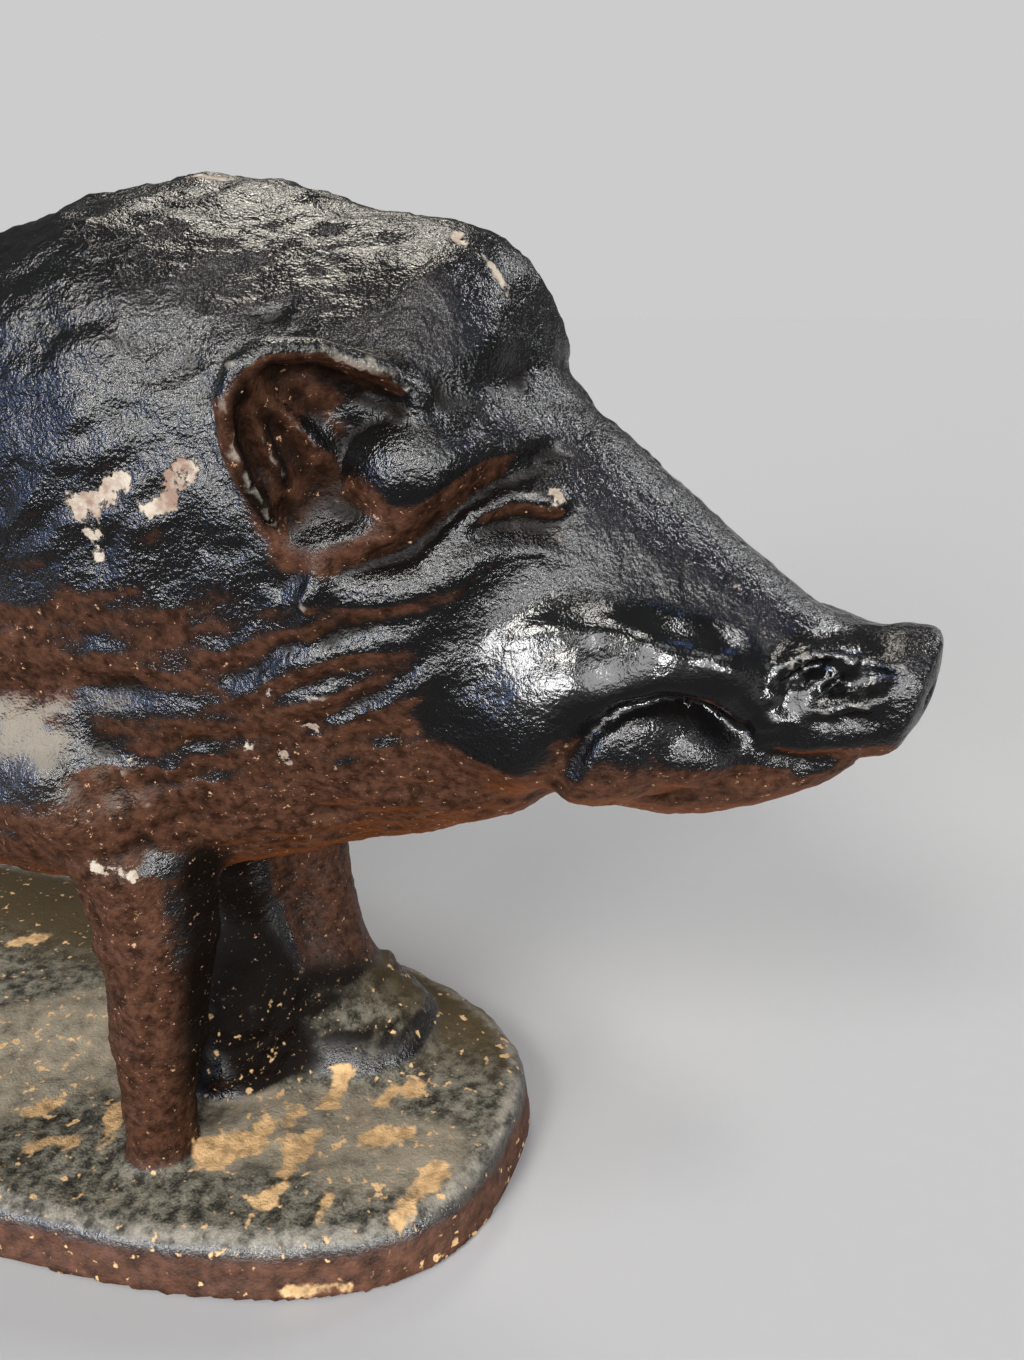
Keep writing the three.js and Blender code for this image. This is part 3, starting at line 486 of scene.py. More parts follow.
# Wrinkles too fine for the solid: they cross the snout, the lids and the jaw.
WRINKLES = _strokes(
    ("snout wrinkle one", -0.9, 0.5, ((97.2, 61.8), (98.7, 63.3), (100.5, 63.3), (102.3, 63.3))),
    ("snout wrinkle two", 1, 0.45, ((96.8, 60.6), (98.6, 61.7), (99.9, 62.6))),
    ("snout wrinkle three", -1, 0.5, ((97.8, 59.4), (99.1, 60.3), (100.8, 61.3), (102.4, 62.7))),
    ("snout wrinkle four", 0.9, 0.45, ((99.4, 59.6), (100.9, 60.4), (101.5, 62))),
    ("snout wrinkle five", -0.8, 0.6, ((102.7, 63.2), (104.3, 62.4), (105.7, 62.5), (106.5, 61.8))),
    ("snout wrinkle six", -0.8, 0.5, ((101.8, 59.6), (103.2, 59.3), (104.6, 59.8), (105.6, 61))),
    ("snout wrinkle seven", 0.8, 0.5, ((97.9, 58.4), (100.5, 57.8), (102.6, 58.1), (104.1, 57.9))),
    ("mouth corner", 0.5, 0.5, ((93.4, 59.8), (94.6, 58), (94.4, 56))),
    ("lower lip line", 0.4, 0.5, ((92, 52.6), (95, 52), (98.4, 52.4), (101, 53.2))),
    ("chin fold", 0.3, 0.6, ((84, 50), (87.4, 49.4), (91, 49.8))),
    ("outer lid line", 0.45, 0.45, ((74, 77.4), (77, 78.2), (80, 77))),
    ("bag under the eye", -0.4, 0.6, ((74, 71), (77.6, 71.4), (80.4, 70.4))),
    ("ear root fold", 0.6, 0.7, ((71.6, 79.4), (69.4, 81.4), (66.8, 82.6))),
    ("cheek fold one", 0.35, 0.6, ((57, 65.6), (61, 66.4), (66, 67))),
    ("cheek fold two", 0.35, 0.6, ((63, 58.4), (66.2, 60), (70, 62.4))),
    ("cheek fold three", -0.4, 0.7, ((60, 54.6), (63.6, 56.8), (67.4, 59))),
)


@dataclass
class BoarForm:
    """The boar itself, as a signed distance in shares of its standing height."""

    top: Profile = field(default_factory=lambda: Profile(
        (-60, 79.6), (-50, 82), (-38, 84.6), (-22, 86.6), (-6, 88.6), (6, 89.6), (16, 91.9),
        (22, 94.4), (30, 98.2), (36, 99.5), (42.5, 100), (50, 99.4), (56, 97.6), (61, 96.4),
        (65, 96.1), (68.6, 95.2), (71, 93.6), (72.6, 91.4), (73.4, 88.8), (74, 86),
        (75.2, 83.4), (77.2, 81.3), (81, 78.6), (84.6, 75.7), (88.1, 73), (91.7, 70.1),
        (95.3, 67.5), (98, 65.6), (100.2, 64.4), (102.2, 63.8), (104, 63.7), (106, 64.1),
        (108.5, 64),
    ))
    bottom: Profile = field(default_factory=lambda: Profile(
        (-60, 37), (-50, 34.6), (-38, 30.4), (-20, 28.6), (0, 27.6), (20, 27.4), (34, 29.4),
        (45, 34.8), (52.4, 36.8), (58.5, 38), (63, 38.8), (68.6, 40.8), (71.9, 42.2),
        (74.6, 43.8), (76.6, 45.2), (78.2, 45.8), (80.2, 45.4), (83.2, 45.2), (86.2, 45),
        (89.9, 45.3), (93.6, 46.4), (96.2, 47.4), (98.8, 48.7), (101.3, 50.4), (102.4, 51.4),
        (103, 52), (103.3, 52.6), (104.2, 52.9), (106, 53.2), (108.5, 53.5),
    ))
    girth: Profile = field(default_factory=lambda: Profile(
        (-60, 58), (-40, 60), (-20, 62), (0, 66), (20, 71), (40, 74), (52, 73), (62, 69),
        (70, 66), (80, 63), (88, 60.5), (96, 57.5), (102, 58), (108, 58.8),
    ))
    half_width: Profile = field(default_factory=lambda: Profile(
        (-66, 18), (-55, 20), (-45, 22), (-30, 22.6), (-10, 22.4), (10, 22.4), (30, 22.8),
        (45, 22.8), (56, 21), (64, 18.6), (72, 16.4), (78, 14.4), (84, 12.8), (90, 10.6),
        (96, 8.8), (101, 7.4), (104, 6.6), (106, 6.5), (108.5, 6.5),
    ))
    roof: Profile = field(default_factory=lambda: Profile(
        (-60, 2), (-20, 1.9), (10, 1.75), (45, 1.7), (65, 1.9), (75, 2.1), (90, 2), (108, 2.2),
    ))
    keel: Profile = field(default_factory=lambda: Profile(
        (-60, 2.2), (-40, 2.8), (0, 3.2), (34, 3.2), (50, 2.4), (60, 2.1), (80, 2.3), (108, 2.2),
    ))
    rump: Spot = (-44.0, -66.0)
    snout_at: Point = (108.5, 0.0, 59.0)
    snout_tilt: float = 12.6
    snout_dome: float = 0.037
    nostril: Mass = Mass("nostril", (109.2, 3, 59.2), (2.2, 1.3, 1.7), 0.4)
    masses: tuple[Mass, ...] = (
        Mass("shoulder", (38, 12.4, 77), (19, 10.6, 18), 6),
        Mass("upper foreleg", (32.8, 13.2, 46.6), (12.4, 11.4, 10.8), 1.8),
        Mass("brisket", (44, 6, 47), (13, 10, 11), 5),
        Mass("haunch", (-47, 12.2, 54), (16.5, 10.6, 21), 4, lean=-12),
        Mass("rump", (-54, 6, 64), (11, 11, 15), 6),
        Mass("flank", (-14, 11, 60), (26, 12, 17), 8),
        Mass("neck", (60, 10.8, 72), (13, 9, 17), 6, lean=16),
        Mass("cheek", (79.4, 10.4, 58.2), (10.8, 7.2, 9), 3.2, lean=20),
        Mass("crown", (66, 7.6, 86.8), (5.6, 5.2, 6), 2, lean=10),
        Mass("eye", (77.4, 11.4, 74.6), (2.1, 1.3, 1), 0.5, lean=8),
        Mass("lower lip", (89.2, 8.2, 55), (5, 5.2, 3.8), 0.8, lean=14),
        Mass("front mound", (42, 11, -2.5), (14.6, 11.6, 11), 6, side=Side.FAR),
        Mass("saddle of the front mound", (35, 4, 2), (8, 12, 15), 3, side=Side.FAR),
        Mass("rear mound", (-45, 9, -3), (16, 13, 10), 6, side=Side.FAR),
    )
    chains: tuple[Chain, ...] = (
        Chain("near foreleg", Side.NEAR, 2.4, (
            (37.2, 14.6, 38, 7.2), (37.8, 15, 29, 5.8), (36.4, 15.3, 16, 4.7),
            (35.4, 15.6, 7, 3.7), (35, 15.8, 1.5, 3.6),
        )),
        Chain("far foreleg", Side.FAR, 3, (
            (36.4, 14.6, 38, 7.2), (36.6, 13.6, 27, 6.4), (38.2, 12.8, 16, 5.7), (40.8, 12, 5, 6.6),
        )),
        Chain("web behind the forelegs", Side.FAR, 3, (
            (34.2, 5, 37, 5), (33.6, 6, 24, 4.6), (34, 6, 12, 5),
        )),
        Chain("near hind leg", Side.NEAR, 3, (
            (-49, 14, 36, 8), (-55.5, 14.6, 23.5, 4.8), (-54, 15, 13, 3.7), (-51, 15.4, 5, 3.6),
            (-49.6, 15.6, 1.5, 3.9),
        )),
        Chain("far hind leg", Side.FAR, 3, (
            (-45, 14, 36, 8), (-50, 14.6, 23.5, 4.8), (-48, 15, 13, 3.9), (-45, 15, 4, 4.2),
        )),
        Chain("brow", Side.BOTH, 1.6, ((67.6, 8, 83.5, 3.6), (71, 10, 80.4, 3.2), (74.6, 10.4, 77.6, 2))),
        Chain("lip", Side.BOTH, 1.5, (
            (78.4, 13.6, 59.4, 3), (82, 12.8, 61, 3.8), (86, 11.2, 61.9, 4), (91, 8.7, 61.5, 3.4),
            (94.2, 7.8, 59.4, 2.6),
        )),
        Chain("tail", Side.FAR, 1, (
            (-58, 0.2, 75.5, 2.2), (-63.6, 0.6, 68.5, 1.9), (-66.4, 1.2, 60, 1.6),
            (-66.4, 2, 52, 1.5), (-64.8, 2.6, 46, 2.1), (-62.6, 3, 41, 1),
        )),
    )
    ear: Ear = Ear()
    temple: Mass = Mass("temple", (68.4, 13.6, 77.2), (6.2, 6.4, 5), 1, lean=-8)
    folds: tuple[Stroke, ...] = FOLDS + WRINKLES
    folds_clear_of_ear: Spot = (8.2, 10.0)

    def _section(self, x: Array) -> tuple[Array, ...]:
        """Top, bottom, girth, half width, roof and keel of the section at each place."""
        curves = (self.top, self.bottom, self.girth, self.half_width, self.roof, self.keel)
        return tuple(curve(x) for curve in curves)

    def _fill(self, section: tuple[Array, ...], x: Array, y: Array, z: Array) -> Array:
        """How far out of the section each place is, where 1 is on its outline.

        Args:
            section: Sizes of the section at each place.
            x: Places along.
            y: Places across.
            z: Places up.

        Returns:
            One number a place.
        """
        top, bottom, girth, half, roof, keel = section
        rise = np.abs(z - girth) / np.where(z > girth, top - girth, girth - bottom)
        behind = np.maximum(self.rump[0] - x, 0) / (self.rump[0] - self.rump[1])
        power = keel + (roof - keel) * ease(z - girth, -4.0, 4.0)
        return np.sqrt((np.abs(y) / half) ** power + rise**2.1 + behind**2.2)

    def trunk(self, x: Array, y: Array, z: Array) -> Array:
        """Distance to the trunk and head without limbs.

        Args:
            x: Places along.
            y: Places across.
            z: Places up.

        Returns:
            Signed distances, close to true near the surface.
        """
        h = 0.4
        here = self._section(x)
        fill = self._fill(here, x, y, z)
        ahead = self._fill(self._section(x + h), x + h, y, z)
        astern = self._fill(self._section(x - h), x - h, y, z)
        dx = (ahead - astern) / (2 * h)
        dy = (self._fill(here, x, np.abs(y) + h, z) - fill) / h
        dz = (self._fill(here, x, y, z + h) - self._fill(here, x, y, z - h)) / (2 * h)
        return (fill - 1) / np.maximum(np.sqrt(dx * dx + dy * dy + dz * dz), 0.02)

    def snout_face(self, x: Array, y: Array, z: Array) -> Array:
        """Distance in front of the snout's tilted disc.

        Args:
            x: Places along.
            y: Places across.
            z: Places up.

        Returns:
            Distances, positive in front.
        """
        tilt = math.radians(self.snout_tilt)
        dx, dz = x - self.snout_at[0], z - self.snout_at[2]
        out = dx * math.cos(tilt) - dz * math.sin(tilt)
        up = dx * math.sin(tilt) + dz * math.cos(tilt)
        return out + self.snout_dome * np.minimum(up * up + y * y, 100)

    def distance(self, x: Array, y: Array, z: Array) -> Array:
        """Distance to the boar.

        Args:
            x: Places along.
            y: Places across.
            z: Places up.

        Returns:
            Signed distances in shares, negative inside.
        """
        off = np.abs(y)
        body = smooth_cut(self.trunk(x, y, z), -self.snout_face(x, y, z), 0.8)
        for mass in self.masses:
            mass.join(body, x, y, z)
        for chain in self.chains:
            chain.join(body, x, y, z)
        self.ear.join(body, x, y, z)
        self.temple.join(body, x, y, z)
        near = np.flatnonzero(np.abs(body) < 6)
        skin = body[near]
        ear_x, ear_y, ear_z = self.ear.at
        gap = np.sqrt((x[near] - ear_x) ** 2 + (off[near] - ear_y) ** 2 + (z[near] - ear_z) ** 2)
        share = np.clip((off[near] - 2) / 4, 0, 1) * ease(gap, *self.folds_clear_of_ear)
        for fold in self.folds:
            fold.cut(skin, x[near], z[near], share)
        body[near] = skin
        front = np.flatnonzero(x > 100)
        hole = self.nostril.distance(x[front], off[front], z[front])
        body[front] = smooth_cut(body[front], hole, self.nostril.blend)
        return body


@dataclass
class PlinthForm:
    """The low plinth with rounded ends, as a signed distance in millimetres."""

    length: float = 178.0
    width: float = 74.0
    thickness: float = 8.5
    squareness: float = 2.75
    draft: float = 0.12
    edge_rounding: float = 2.4

    def ground_rise(self, x: Array, y: Array) -> Array:
        """Gentle rise and fall of the ground, in millimetres."""
        swell = np.sin(x * 0.071 + 0.6) * np.cos(y * 0.13 - 0.4)
        return 0.55 * (swell + 0.6 * np.sin(x * 0.16 - y * 0.11))

    def wall(self, x: Array, y: Array, z: Array) -> Array:
        """Distance out from the plinth's side wall, as if it went on up and down.

        Args:
            x: Places along.
            y: Places across.
            z: Places up.

        Returns:
            Signed distances in millimetres, negative inside.
        """
        half_length = self.length / 2 - self.draft * z
        half_width = self.width / 2 - self.draft * z
        u, v = np.abs(x) / half_length, np.abs(y) / half_width
        n = self.squareness
        size = (u**n + v**n) ** (1 / n)
        least = np.maximum(size, 0.2)
        slope = np.hypot((u / least) ** (n - 1) / half_length, (v / least) ** (n - 1) / half_width)
        return (size - 1) / np.maximum(slope, 0.008)

    def distance(self, x: Array, y: Array, z: Array) -> Array:
        """Distance to the plinth.

        Args:
            x: Places along.
            y: Places across.
            z: Places up.

        Returns:
            Signed distances in millimetres, negative inside.
        """
        wall = self.wall(x, y, z)
        crown = z - self.thickness - self.ground_rise(x, y) * np.clip(-wall / 12, 0, 1)
        r = self.edge_rounding
        rounded = np.hypot(np.maximum(wall + r, 0), np.maximum(crown + r, 0)) - r
        return rounded + np.minimum(np.maximum(wall + r, crown + r), 0)


@dataclass
class CastingForm:
    """Boar and plinth in one, as a signed distance in millimetres."""

    boar: BoarForm = field(default_factory=BoarForm)
    plinth: PlinthForm = field(default_factory=PlinthForm)
    standing_height: float = 125.0
    fillet: float = 2.6

    def shares(self, points: Array) -> Array:
        """Places in the figure's own shares, one row each."""
        raised = points - np.array([0.0, 0.0, self.plinth.thickness])
        return raised * (100.0 / self.standing_height)

    def distance(self, points: Array) -> Array:
        """Distance to the whole casting, cut flat below.

        Args:
            points: Places in millimetres, one row each.

        Returns:
            Signed distances in millimetres.
        """
        x, y, z = points.T
        body = self.plinth.distance(x, y, z)
        near = np.flatnonzero(z > self.plinth.thickness - 7.5)
        own = self.shares(points[near])
        figure = self.boar.distance(own[:, 0], own[:, 1], own[:, 2]) * (self.standing_height / 100)
        body[near] = smooth_union(body[near], figure, self.fillet)
        return np.maximum(body, -z)

    def slope(self, points: Array) -> Array:
        """Outward direction of the surface near each place.

        Args:
            points: Places in millimetres, one row each.

        Returns:
            The field's gradient, one row each.
        """
        h = 0.12
        steps = np.eye(3) * h
        rises = [self.distance(points + step) - self.distance(points - step) for step in steps]
        return np.stack(rises, axis=1) / (2 * h)


@dataclass
class SkinGrid:
    """Lays a closed skin of four-sided faces where a form's distance crosses zero.

    The grid is finer where the figure is looked at most: the head and the right side.
    """

    low: Point = (-92.0, -39.5, -1.0)
    high: Point = (139.0, 39.5, 136.0)
    head_step: float = 0.72
    body_step: float = 0.98
    rear_step: float = 1.85
    near_step: float = 0.76
    far_step: float = 1.5
    up_step: float = 0.84
    block: int = 4

    def _ruler(self, axis: int) -> Array:
        """Grid places along one axis.

        Args:
            axis: 0 along, 1 across, 2 up.

        Returns:
            Rising places in millimetres.
        """
        places = [self.low[axis]]
        while places[-1] < self.high[axis]:
            at = np.array([places[-1]])
            if axis == 0:
                step = self.rear_step + (self.body_step - self.rear_step) * ease(at, -40, 10)
                step = step + (self.head_step - self.body_step) * ease(at, 45, 75)
            elif axis == 1:
                step = self.near_step + (self.far_step - self.near_step) * ease(at, -8, 16)
            else:
                step = np.array([self.up_step])
            places.append(places[-1] + float(step[0]))
        return np.array(places)

    def _sample(self, form: CastingForm, rulers: list[Array]) -> Array:
        """Distances on the grid, exact near the surface and rough away from it.

        Args:
            form: The form to sample.
            rulers: Grid places along each axis.

        Returns:
            One distance a grid point.
        """
        shape = tuple(len(r) for r in rulers)
        blocks = [np.arange(0, n, self.block) for n in shape]
        middles = [r[np.minimum(b + self.block // 2, len(r) - 1)] for r, b in zip(rulers, blocks)]
        mesh = np.meshgrid(*middles, indexing="ij")
        rough = form.distance(np.stack([m.ravel() for m in mesh], axis=1)).reshape(mesh[0].shape)
        widest = max(self.rear_step, self.far_step) * self.block
        near = np.abs(rough) < widest * 1.25
        values, close = rough, near
        for axis in range(3):
            values = np.repeat(values, self.block, axis=axis)
            close = np.repeat(close, self.block, axis=axis)
        values = values[: shape[0], : shape[1], : shape[2]].copy()
        close = close[: shape[0], : shape[1], : shape[2]]
        places = np.argwhere(close)
        for part in np.array_split(places, max(len(places) // 200000, 1)):
            points = np.stack([rulers[axis][part[:, axis]] for axis in range(3)], axis=1)
            values[tuple(part.T)] = form.distance(points)
        return values

    def _points(self, values: Array, rulers: list[Array]) -> tuple[Array, Array]:
        """One vertex in every cell that the surface passes through.

        Args:
            values: Distances on the grid.
            rulers: Grid places along each axis.

        Returns:
            The vertices, and each cell's vertex number or -1.
        """
        inside = values < 0
        corners = list(product((0, 1), repeat=3))
        cut = tuple(n - 1 for n in values.shape)
        count = np.zeros(cut, np.int8)
        for i, j, k in corners:
            count += inside[i : i + cut[0], j : j + cut[1], k : k + cut[2]]
        mixed = (count > 0) & (count < 8)
        numbers = np.full(cut, -1, np.int64)
        numbers[mixed] = np.arange(mixed.sum())
        cells = np.argwhere(mixed)
        total = np.zeros((len(cells), 3))
        hits = np.zeros(len(cells))
        for start in corners:
            for axis in range(3):
                if start[axis]:
                    continue
                end = tuple(1 if n == axis else start[n] for n in range(3))
                a, b = cells + np.array(start), cells + np.array(end)
                va, vb = values[tuple(a.T)], values[tuple(b.T)]
                crosses = (va < 0) != (vb < 0)
                t = np.where(crosses, va / np.where(crosses, va - vb, 1.0), 0.0)
                for n in range(3):
                    pa, pb = rulers[n][a[:, n]], rulers[n][b[:, n]]
                    total[:, n] += np.where(crosses, pa + t * (pb - pa), 0.0)
                hits += crosses
        return total / hits[:, None], numbers

    def _quads(self, values: Array, numbers: Array) -> Array:
        """A face around every grid edge that the surface crosses.

        Args:
            values: Distances on the grid.
            numbers: Each cell's vertex number.

        Returns:
            Four vertex numbers a face, facing out.
        """
        inside = values < 0
        faces = []
        for axis in range(3):
            u, v = (axis + 1) % 3, (axis + 2) % 3
            start: list[slice] = [slice(1, -1)] * 3
            end: list[slice] = [slice(1, -1)] * 3
            start[axis], end[axis] = slice(0, -1), slice(1, None)
            first = inside[tuple(start)]
            nodes = np.argwhere(first != inside[tuple(end)])
            outward = first[tuple(nodes.T)]
            nodes[:, u] += 1
            nodes[:, v] += 1
            ring = []
            for du, dv in ((-1, -1), (0, -1), (0, 0), (-1, 0)):
                cell = nodes.copy()
                cell[:, u] += du
                cell[:, v] += dv
                ring.append(numbers[tuple(cell.T)])
            quads = np.stack(ring, axis=1)
            faces.append(np.where(outward[:, None], quads, quads[:, ::-1]))
        return np.concatenate(faces)

    def skin(self, form: CastingForm) -> tuple[Array, Array]:
        """The form's skin.

        Args:
            form: The form to cover.

        Returns:
            Vertices in millimetres and four vertex numbers a face.
        """
        rulers = [self._ruler(axis) for axis in range(3)]
        values = self._sample(form, rulers)
        points, numbers = self._points(values, rulers)
        faces = self._quads(values, numbers)
        for _ in range(2):
            slope = form.slope(points)
            size = np.maximum((slope * slope).sum(axis=1), 0.3)
            move = np.clip(form.distance(points) / size, -0.5, 0.5)
            points = points - move[:, None] * slope
        points[:, 2] = np.maximum(points[:, 2], 0.0)
        return points, faces


# Relief and wear


@dataclass(frozen=True)
class HideRelief:
    """Tufts of bristle, lumps and grain of the casting, in millimetres."""

    tuft_length: float = 7.0
    tuft_width: float = 2.1
    tuft_height: float = 0.42
    lump_size: float = 3.4
    lump_height: float = 0.26
    bead_size: float = 1.7
    bead_height: float = 0.2
    grain_size: float = 1.1
    grain_height: float = 0.12
    ground_height: float = 0.34

    def _tufts(self, points: Array, angle: float, seed: int) -> Array:
        """Long ridges of bristle lying at an angle in the side view.

        Args:
            points: Places in millimetres.
            angle: Degrees above the level, rising toward the head.
            seed: Which noise.

        Returns:
            Heights from about -1 to 1.
        """
        turn = math.radians(angle)
        along = points[:, 0] * math.cos(turn) + points[:, 2] * math.sin(turn)
        across = -points[:, 0] * math.sin(turn) + points[:, 2] * math.cos(turn)
        sway = 0.9 * soft_noise(points / 9.0, seed + 5)
        laid = np.stack([
            along / self.tuft_length,
            points[:, 1] / (self.tuft_width * 2.0),
            across / self.tuft_width + sway,
        ], axis=1)
        return soft_noise(laid, seed) + 0.5 * soft_noise(laid * 1.9, seed + 1)

    def height(self, points: Array, own: Array, ground: Array) -> Array:
        """How far the grain and tufts stand proud at each place.

        Args:
            points: Places in millimetres.
            own: The same places in shares.
            ground: 1 on the plinth and its ground, 0 on the boar.

        Returns:
            Heights in millimetres.
        """
        x, y, z = own.T
        face = ease(x, 60, 74)
        snout = ease(x, 90, 99)
        legs = ease(z, 42, 32)
        mane = ease(z, 60, 74) * (1 - face)
        ear = ease(np.sqrt((x - 64.2) ** 2 + (np.abs(y) - 22.5) ** 2 + (z - 80) ** 2), 11, 8)
        smooth = (1 - 0.85 * ear) * (1 - 0.45 * snout)
        tufts = mane * self._tufts(points, 24, 11) + (1 - mane) * self._tufts(points, 12, 21)
        tufts = tufts * (1 - 0.8 * face) * (1 - legs) + 0.5 * legs * self._tufts(points, 80, 31)
        lumps = soft_noise(points / self.lump_size, 41) * (1 - 0.5 * face)
        beads = pebbles(points / self.bead_size, 51) - 0.35
        grain = soft_noise(points / self.grain_size, 61)
        grain += 0.6 * soft_noise(points / (0.55 * self.grain_size), 62)
        hide = smooth * (
            self.tuft_height * tufts
            + self.lump_height * lumps
            + self.bead_height * beads * (1 - 0.45 * face)
            + self.grain_height * grain
        )
        soil = self.ground_height * (
            0.7 * soft_noise(points / 4.2, 71)
            + 0.6 * (pebbles(points / 2.4, 81) - 0.3)
            + 0.3 * soft_noise(points / 1.2, 91)
        )
        rough_mound = ease(z, 0.8, 4) * ground
        soil = soil * (1 + 2.2 * rough_mound)
        return hide * (1 - ground) + soil * ground


@dataclass(frozen=True)
class Blot:
    """A worn or bare patch: a straight streak with a radius, in millimetres."""

    start: Point
    end: Point
    radius: float

    def nearness(self, points: Array) -> Array:
        """How deep inside the patch each place is, in millimetres; negative outside."""
        a, b = np.array(self.start), np.array(self.end)
        run = b - a
        t = np.clip((points - a) @ run / max(float(run @ run), 1e-6), 0.0, 1.0)
        return self.radius - np.linalg.norm(points - a - t[:, None] * run, axis=1)


def spot(x: float, y: float, z: float, radius: float) -> Blot:
    """A round patch."""
    return Blot((x, y, z), (x, y, z), radius)


@dataclass(frozen=True)
class PaintWear:
    """Where the paint is chipped, rubbed or covered, and where shade, highlights and reflections are
    painted on, kept on the skin as numbers.
    """

    # Chips through to the primer.
    chips: tuple[Blot, ...] = (
        Blot((54.6, -29.8, 101.2), (59.4, -29.6, 104.0), 1.4),
        spot(55.6, -29.8, 98.8, 1.2),
        Blot((63.0, -28.6, 101.6), (66.2, -28.3, 105.4), 1.3),
        spot(56.2, -29.7, 96.4, 0.8),
        spot(74.6, -22.9, 78.4, 1.1),
        spot(70.4, -22.1, 73.7, 1.3),
        spot(66.8, -22.6, 74.8, 0.7),
        Blot((84.8, -6.2, 126.6), (86.4, -6.2, 125.4), 0.7),
        Blot((88.5, -6.6, 124.4), (90.8, -6.9, 121.0), 0.7),
        Blot((53.6, -4.6, 132.6), (57.4, -4.0, 132.8), 1.0),
        spot(49.0, -16.7, 128.8, 0.8),
        Blot((98.8, -15.0, 102.4), (100.6, -14.4, 103.2), 1.3),
        spot(99.0, -15.6, 98.8, 0.6),
        Blot((47.0, -26.9, 58.0), (50.8, -25.8, 57.4), 0.9),
        spot(71.8, -25.6, 82.9, 0.7),
        spot(93.5, -15.1, 71.0, 0.8),
        spot(115.8, -6.0, 92.6, 0.8),
        spot(52.0, -25.0, 72.0, 0.7),
        spot(80.5, -19.4, 67.6, 0.8),
        spot(86.0, -17.0, 68.4, 0.7),
    )
    # Tan places on the ground.
    bare: tuple[Blot, ...] = (
        Blot((51.4, -18.4, 8.6), (54.4, -14.8, 8.6), 2.4),
        spot(54.6, -11.6, 8.6, 1.6),
        Blot((62.4, -18.0, 8.8), (62.2, -10.4, 8.4), 1.4),
        spot(61.6, -13.6, 8.6, 2.0),
        Blot((61.2, -4.0, 8.2), (60.8, 2.0, 9.6), 1.1),
        Blot((62.3, -23.4, 8.7), (63.4, -20.4, 8.8), 0.8),
        Blot((70.9, -22.8, 8.7), (70.5, -19.6, 8.8), 0.6),
        Blot((79.9, -19.6, 8.0), (81.6, -10.4, 8.6), 1.2),
        spot(81.9, -11.6, 8.4, 1.8),
        Blot((70.4, -8.6, 8.4), (75.0, -5.4, 8.4), 1.4),
        spot(71.6, -7.6, 8.4, 2.1),
        spot(71.8, 3.2, 7.9, 1.5),
        Blot((68.2, -1.0, 7.8), (68.8, 1.6, 7.8), 1.1),
        Blot((57.4, -9.4, 8.8), (58.4, -5.0, 8.8), 1.0),
        Blot((20.4, -20.3, 7.8), (22.4, -17.6, 7.9), 1.0),
        Blot((35.7, -21.9, 8.8), (32.9, -16.0, 8.6), 0.9),
        spot(31.3, -23.4, 8.7, 1.2),
        Blot((26.0, -26.4, 8.2), (28.4, -24.0, 8.4), 0.6),
        Blot((4.0, -22.0, 8.2), (6.4, -17.0, 8.2), 1.4),
        Blot((-14.0, 12.0, 8.2), (-10.0, 16.0, 8.2), 1.4),
        Blot((-30.0, -20.0, 8.2), (-26.0, -16.0, 8.2), 1.3),
        Blot((60.0, 18.0, 8.6), (62.0, 22.0, 8.6), 0.8),
        Blot((69.0, -28.6, 1.6), (76.0, -25.8, 1.8), 0.8),
    )
    # Pieces broken out of the plinth's lower edge.
    notches: tuple[Blot, ...] = (
        spot(72.6, -29.4, -0.6, 2.4),
        spot(88.0, -15.0, 0.4, 2.2),
        spot(-20.0, 37.6, 0.0, 2.2),
        spot(-78.0, -24.4, 0.2, 2.0),
    )
    # Pale haze on the ground.
    haze: tuple[Blot, ...] = (
        Blot((54.0, -12.0, 8.6), (66.0, -8.0, 8.4), 8.0),
        Blot((70.0, -12.0, 8.4), (78.0, -8.0, 8.4), 6.0),
        Blot((8.0, -14.0, 8.4), (28.0, 4.0, 8.4), 13.0),
        Blot((-40.0, -12.0, 8.4), (-20.0, 0.0, 8.4), 9.0),
    )
    # Painted highlight on the ledge over the elbow, with pale painted runs below it.
    shelf: tuple[Blot, ...] = (
        Blot((16.0, -28.6, 73.0), (44.0, -28.6, 76.0), 3.8),
        Blot((44.0, -28.0, 76.6), (53.0, -27.0, 77.6), 1.8),
        Blot((50.4, -28.0, 73.5), (52.4, -27.0, 65.5), 1.0),
        Blot((44.0, -29.0, 72.0), (46.0, -28.0, 64.0), 0.8),
    )
    # The ear's upper rim, rubbed pale.
    rubbed: tuple[Blot, ...] = (
        Blot((65.0, -31.8, 121.0), (69.0, -29.4, 123.0), 1.5),
        Blot((69.0, -29.4, 123.0), (76.0, -23.0, 122.4), 1.3),
    )
    # Places handled smooth: cheek, lips.
    smooth: tuple[Blot, ...] = (
        Blot((99.0, -21.0, 88.0), (112.0, -15.0, 87.0), 6.0),
        Blot((118.0, -9.0, 83.0), (126.0, -4.0, 84.0), 5.0),
        Blot((109.0, -14.0, 80.0), (114.0, -12.0, 80.0), 3.0),
    )
    # Painted shade between and behind the legs.
    painted_shade: tuple[Blot, ...] = (
        Blot((44.0, -6.0, 46.0), (50.0, -3.0, 22.0), 9.0),
        Blot((54.5, -13.0, 48.0), (50.5, -14.0, 14.0), 4.6),
        Blot((36.0, -6.0, 40.0), (38.0, -4.0, 14.0), 9.0),
        Blot((-10.0, -6.0, 38.0), (30.0, -6.0, 38.0), 9.0),
        Blot((46.0, 8.0, 16.0), (60.0, 12.0, 12.0), 8.5),
        Blot((55.5, -19.0, 56.0), (52.5, -19.0, 22.0), 3.4),
        Blot((49.0, -4.0, 30.0), (53.0, -4.0, 14.0), 7.0),
    )
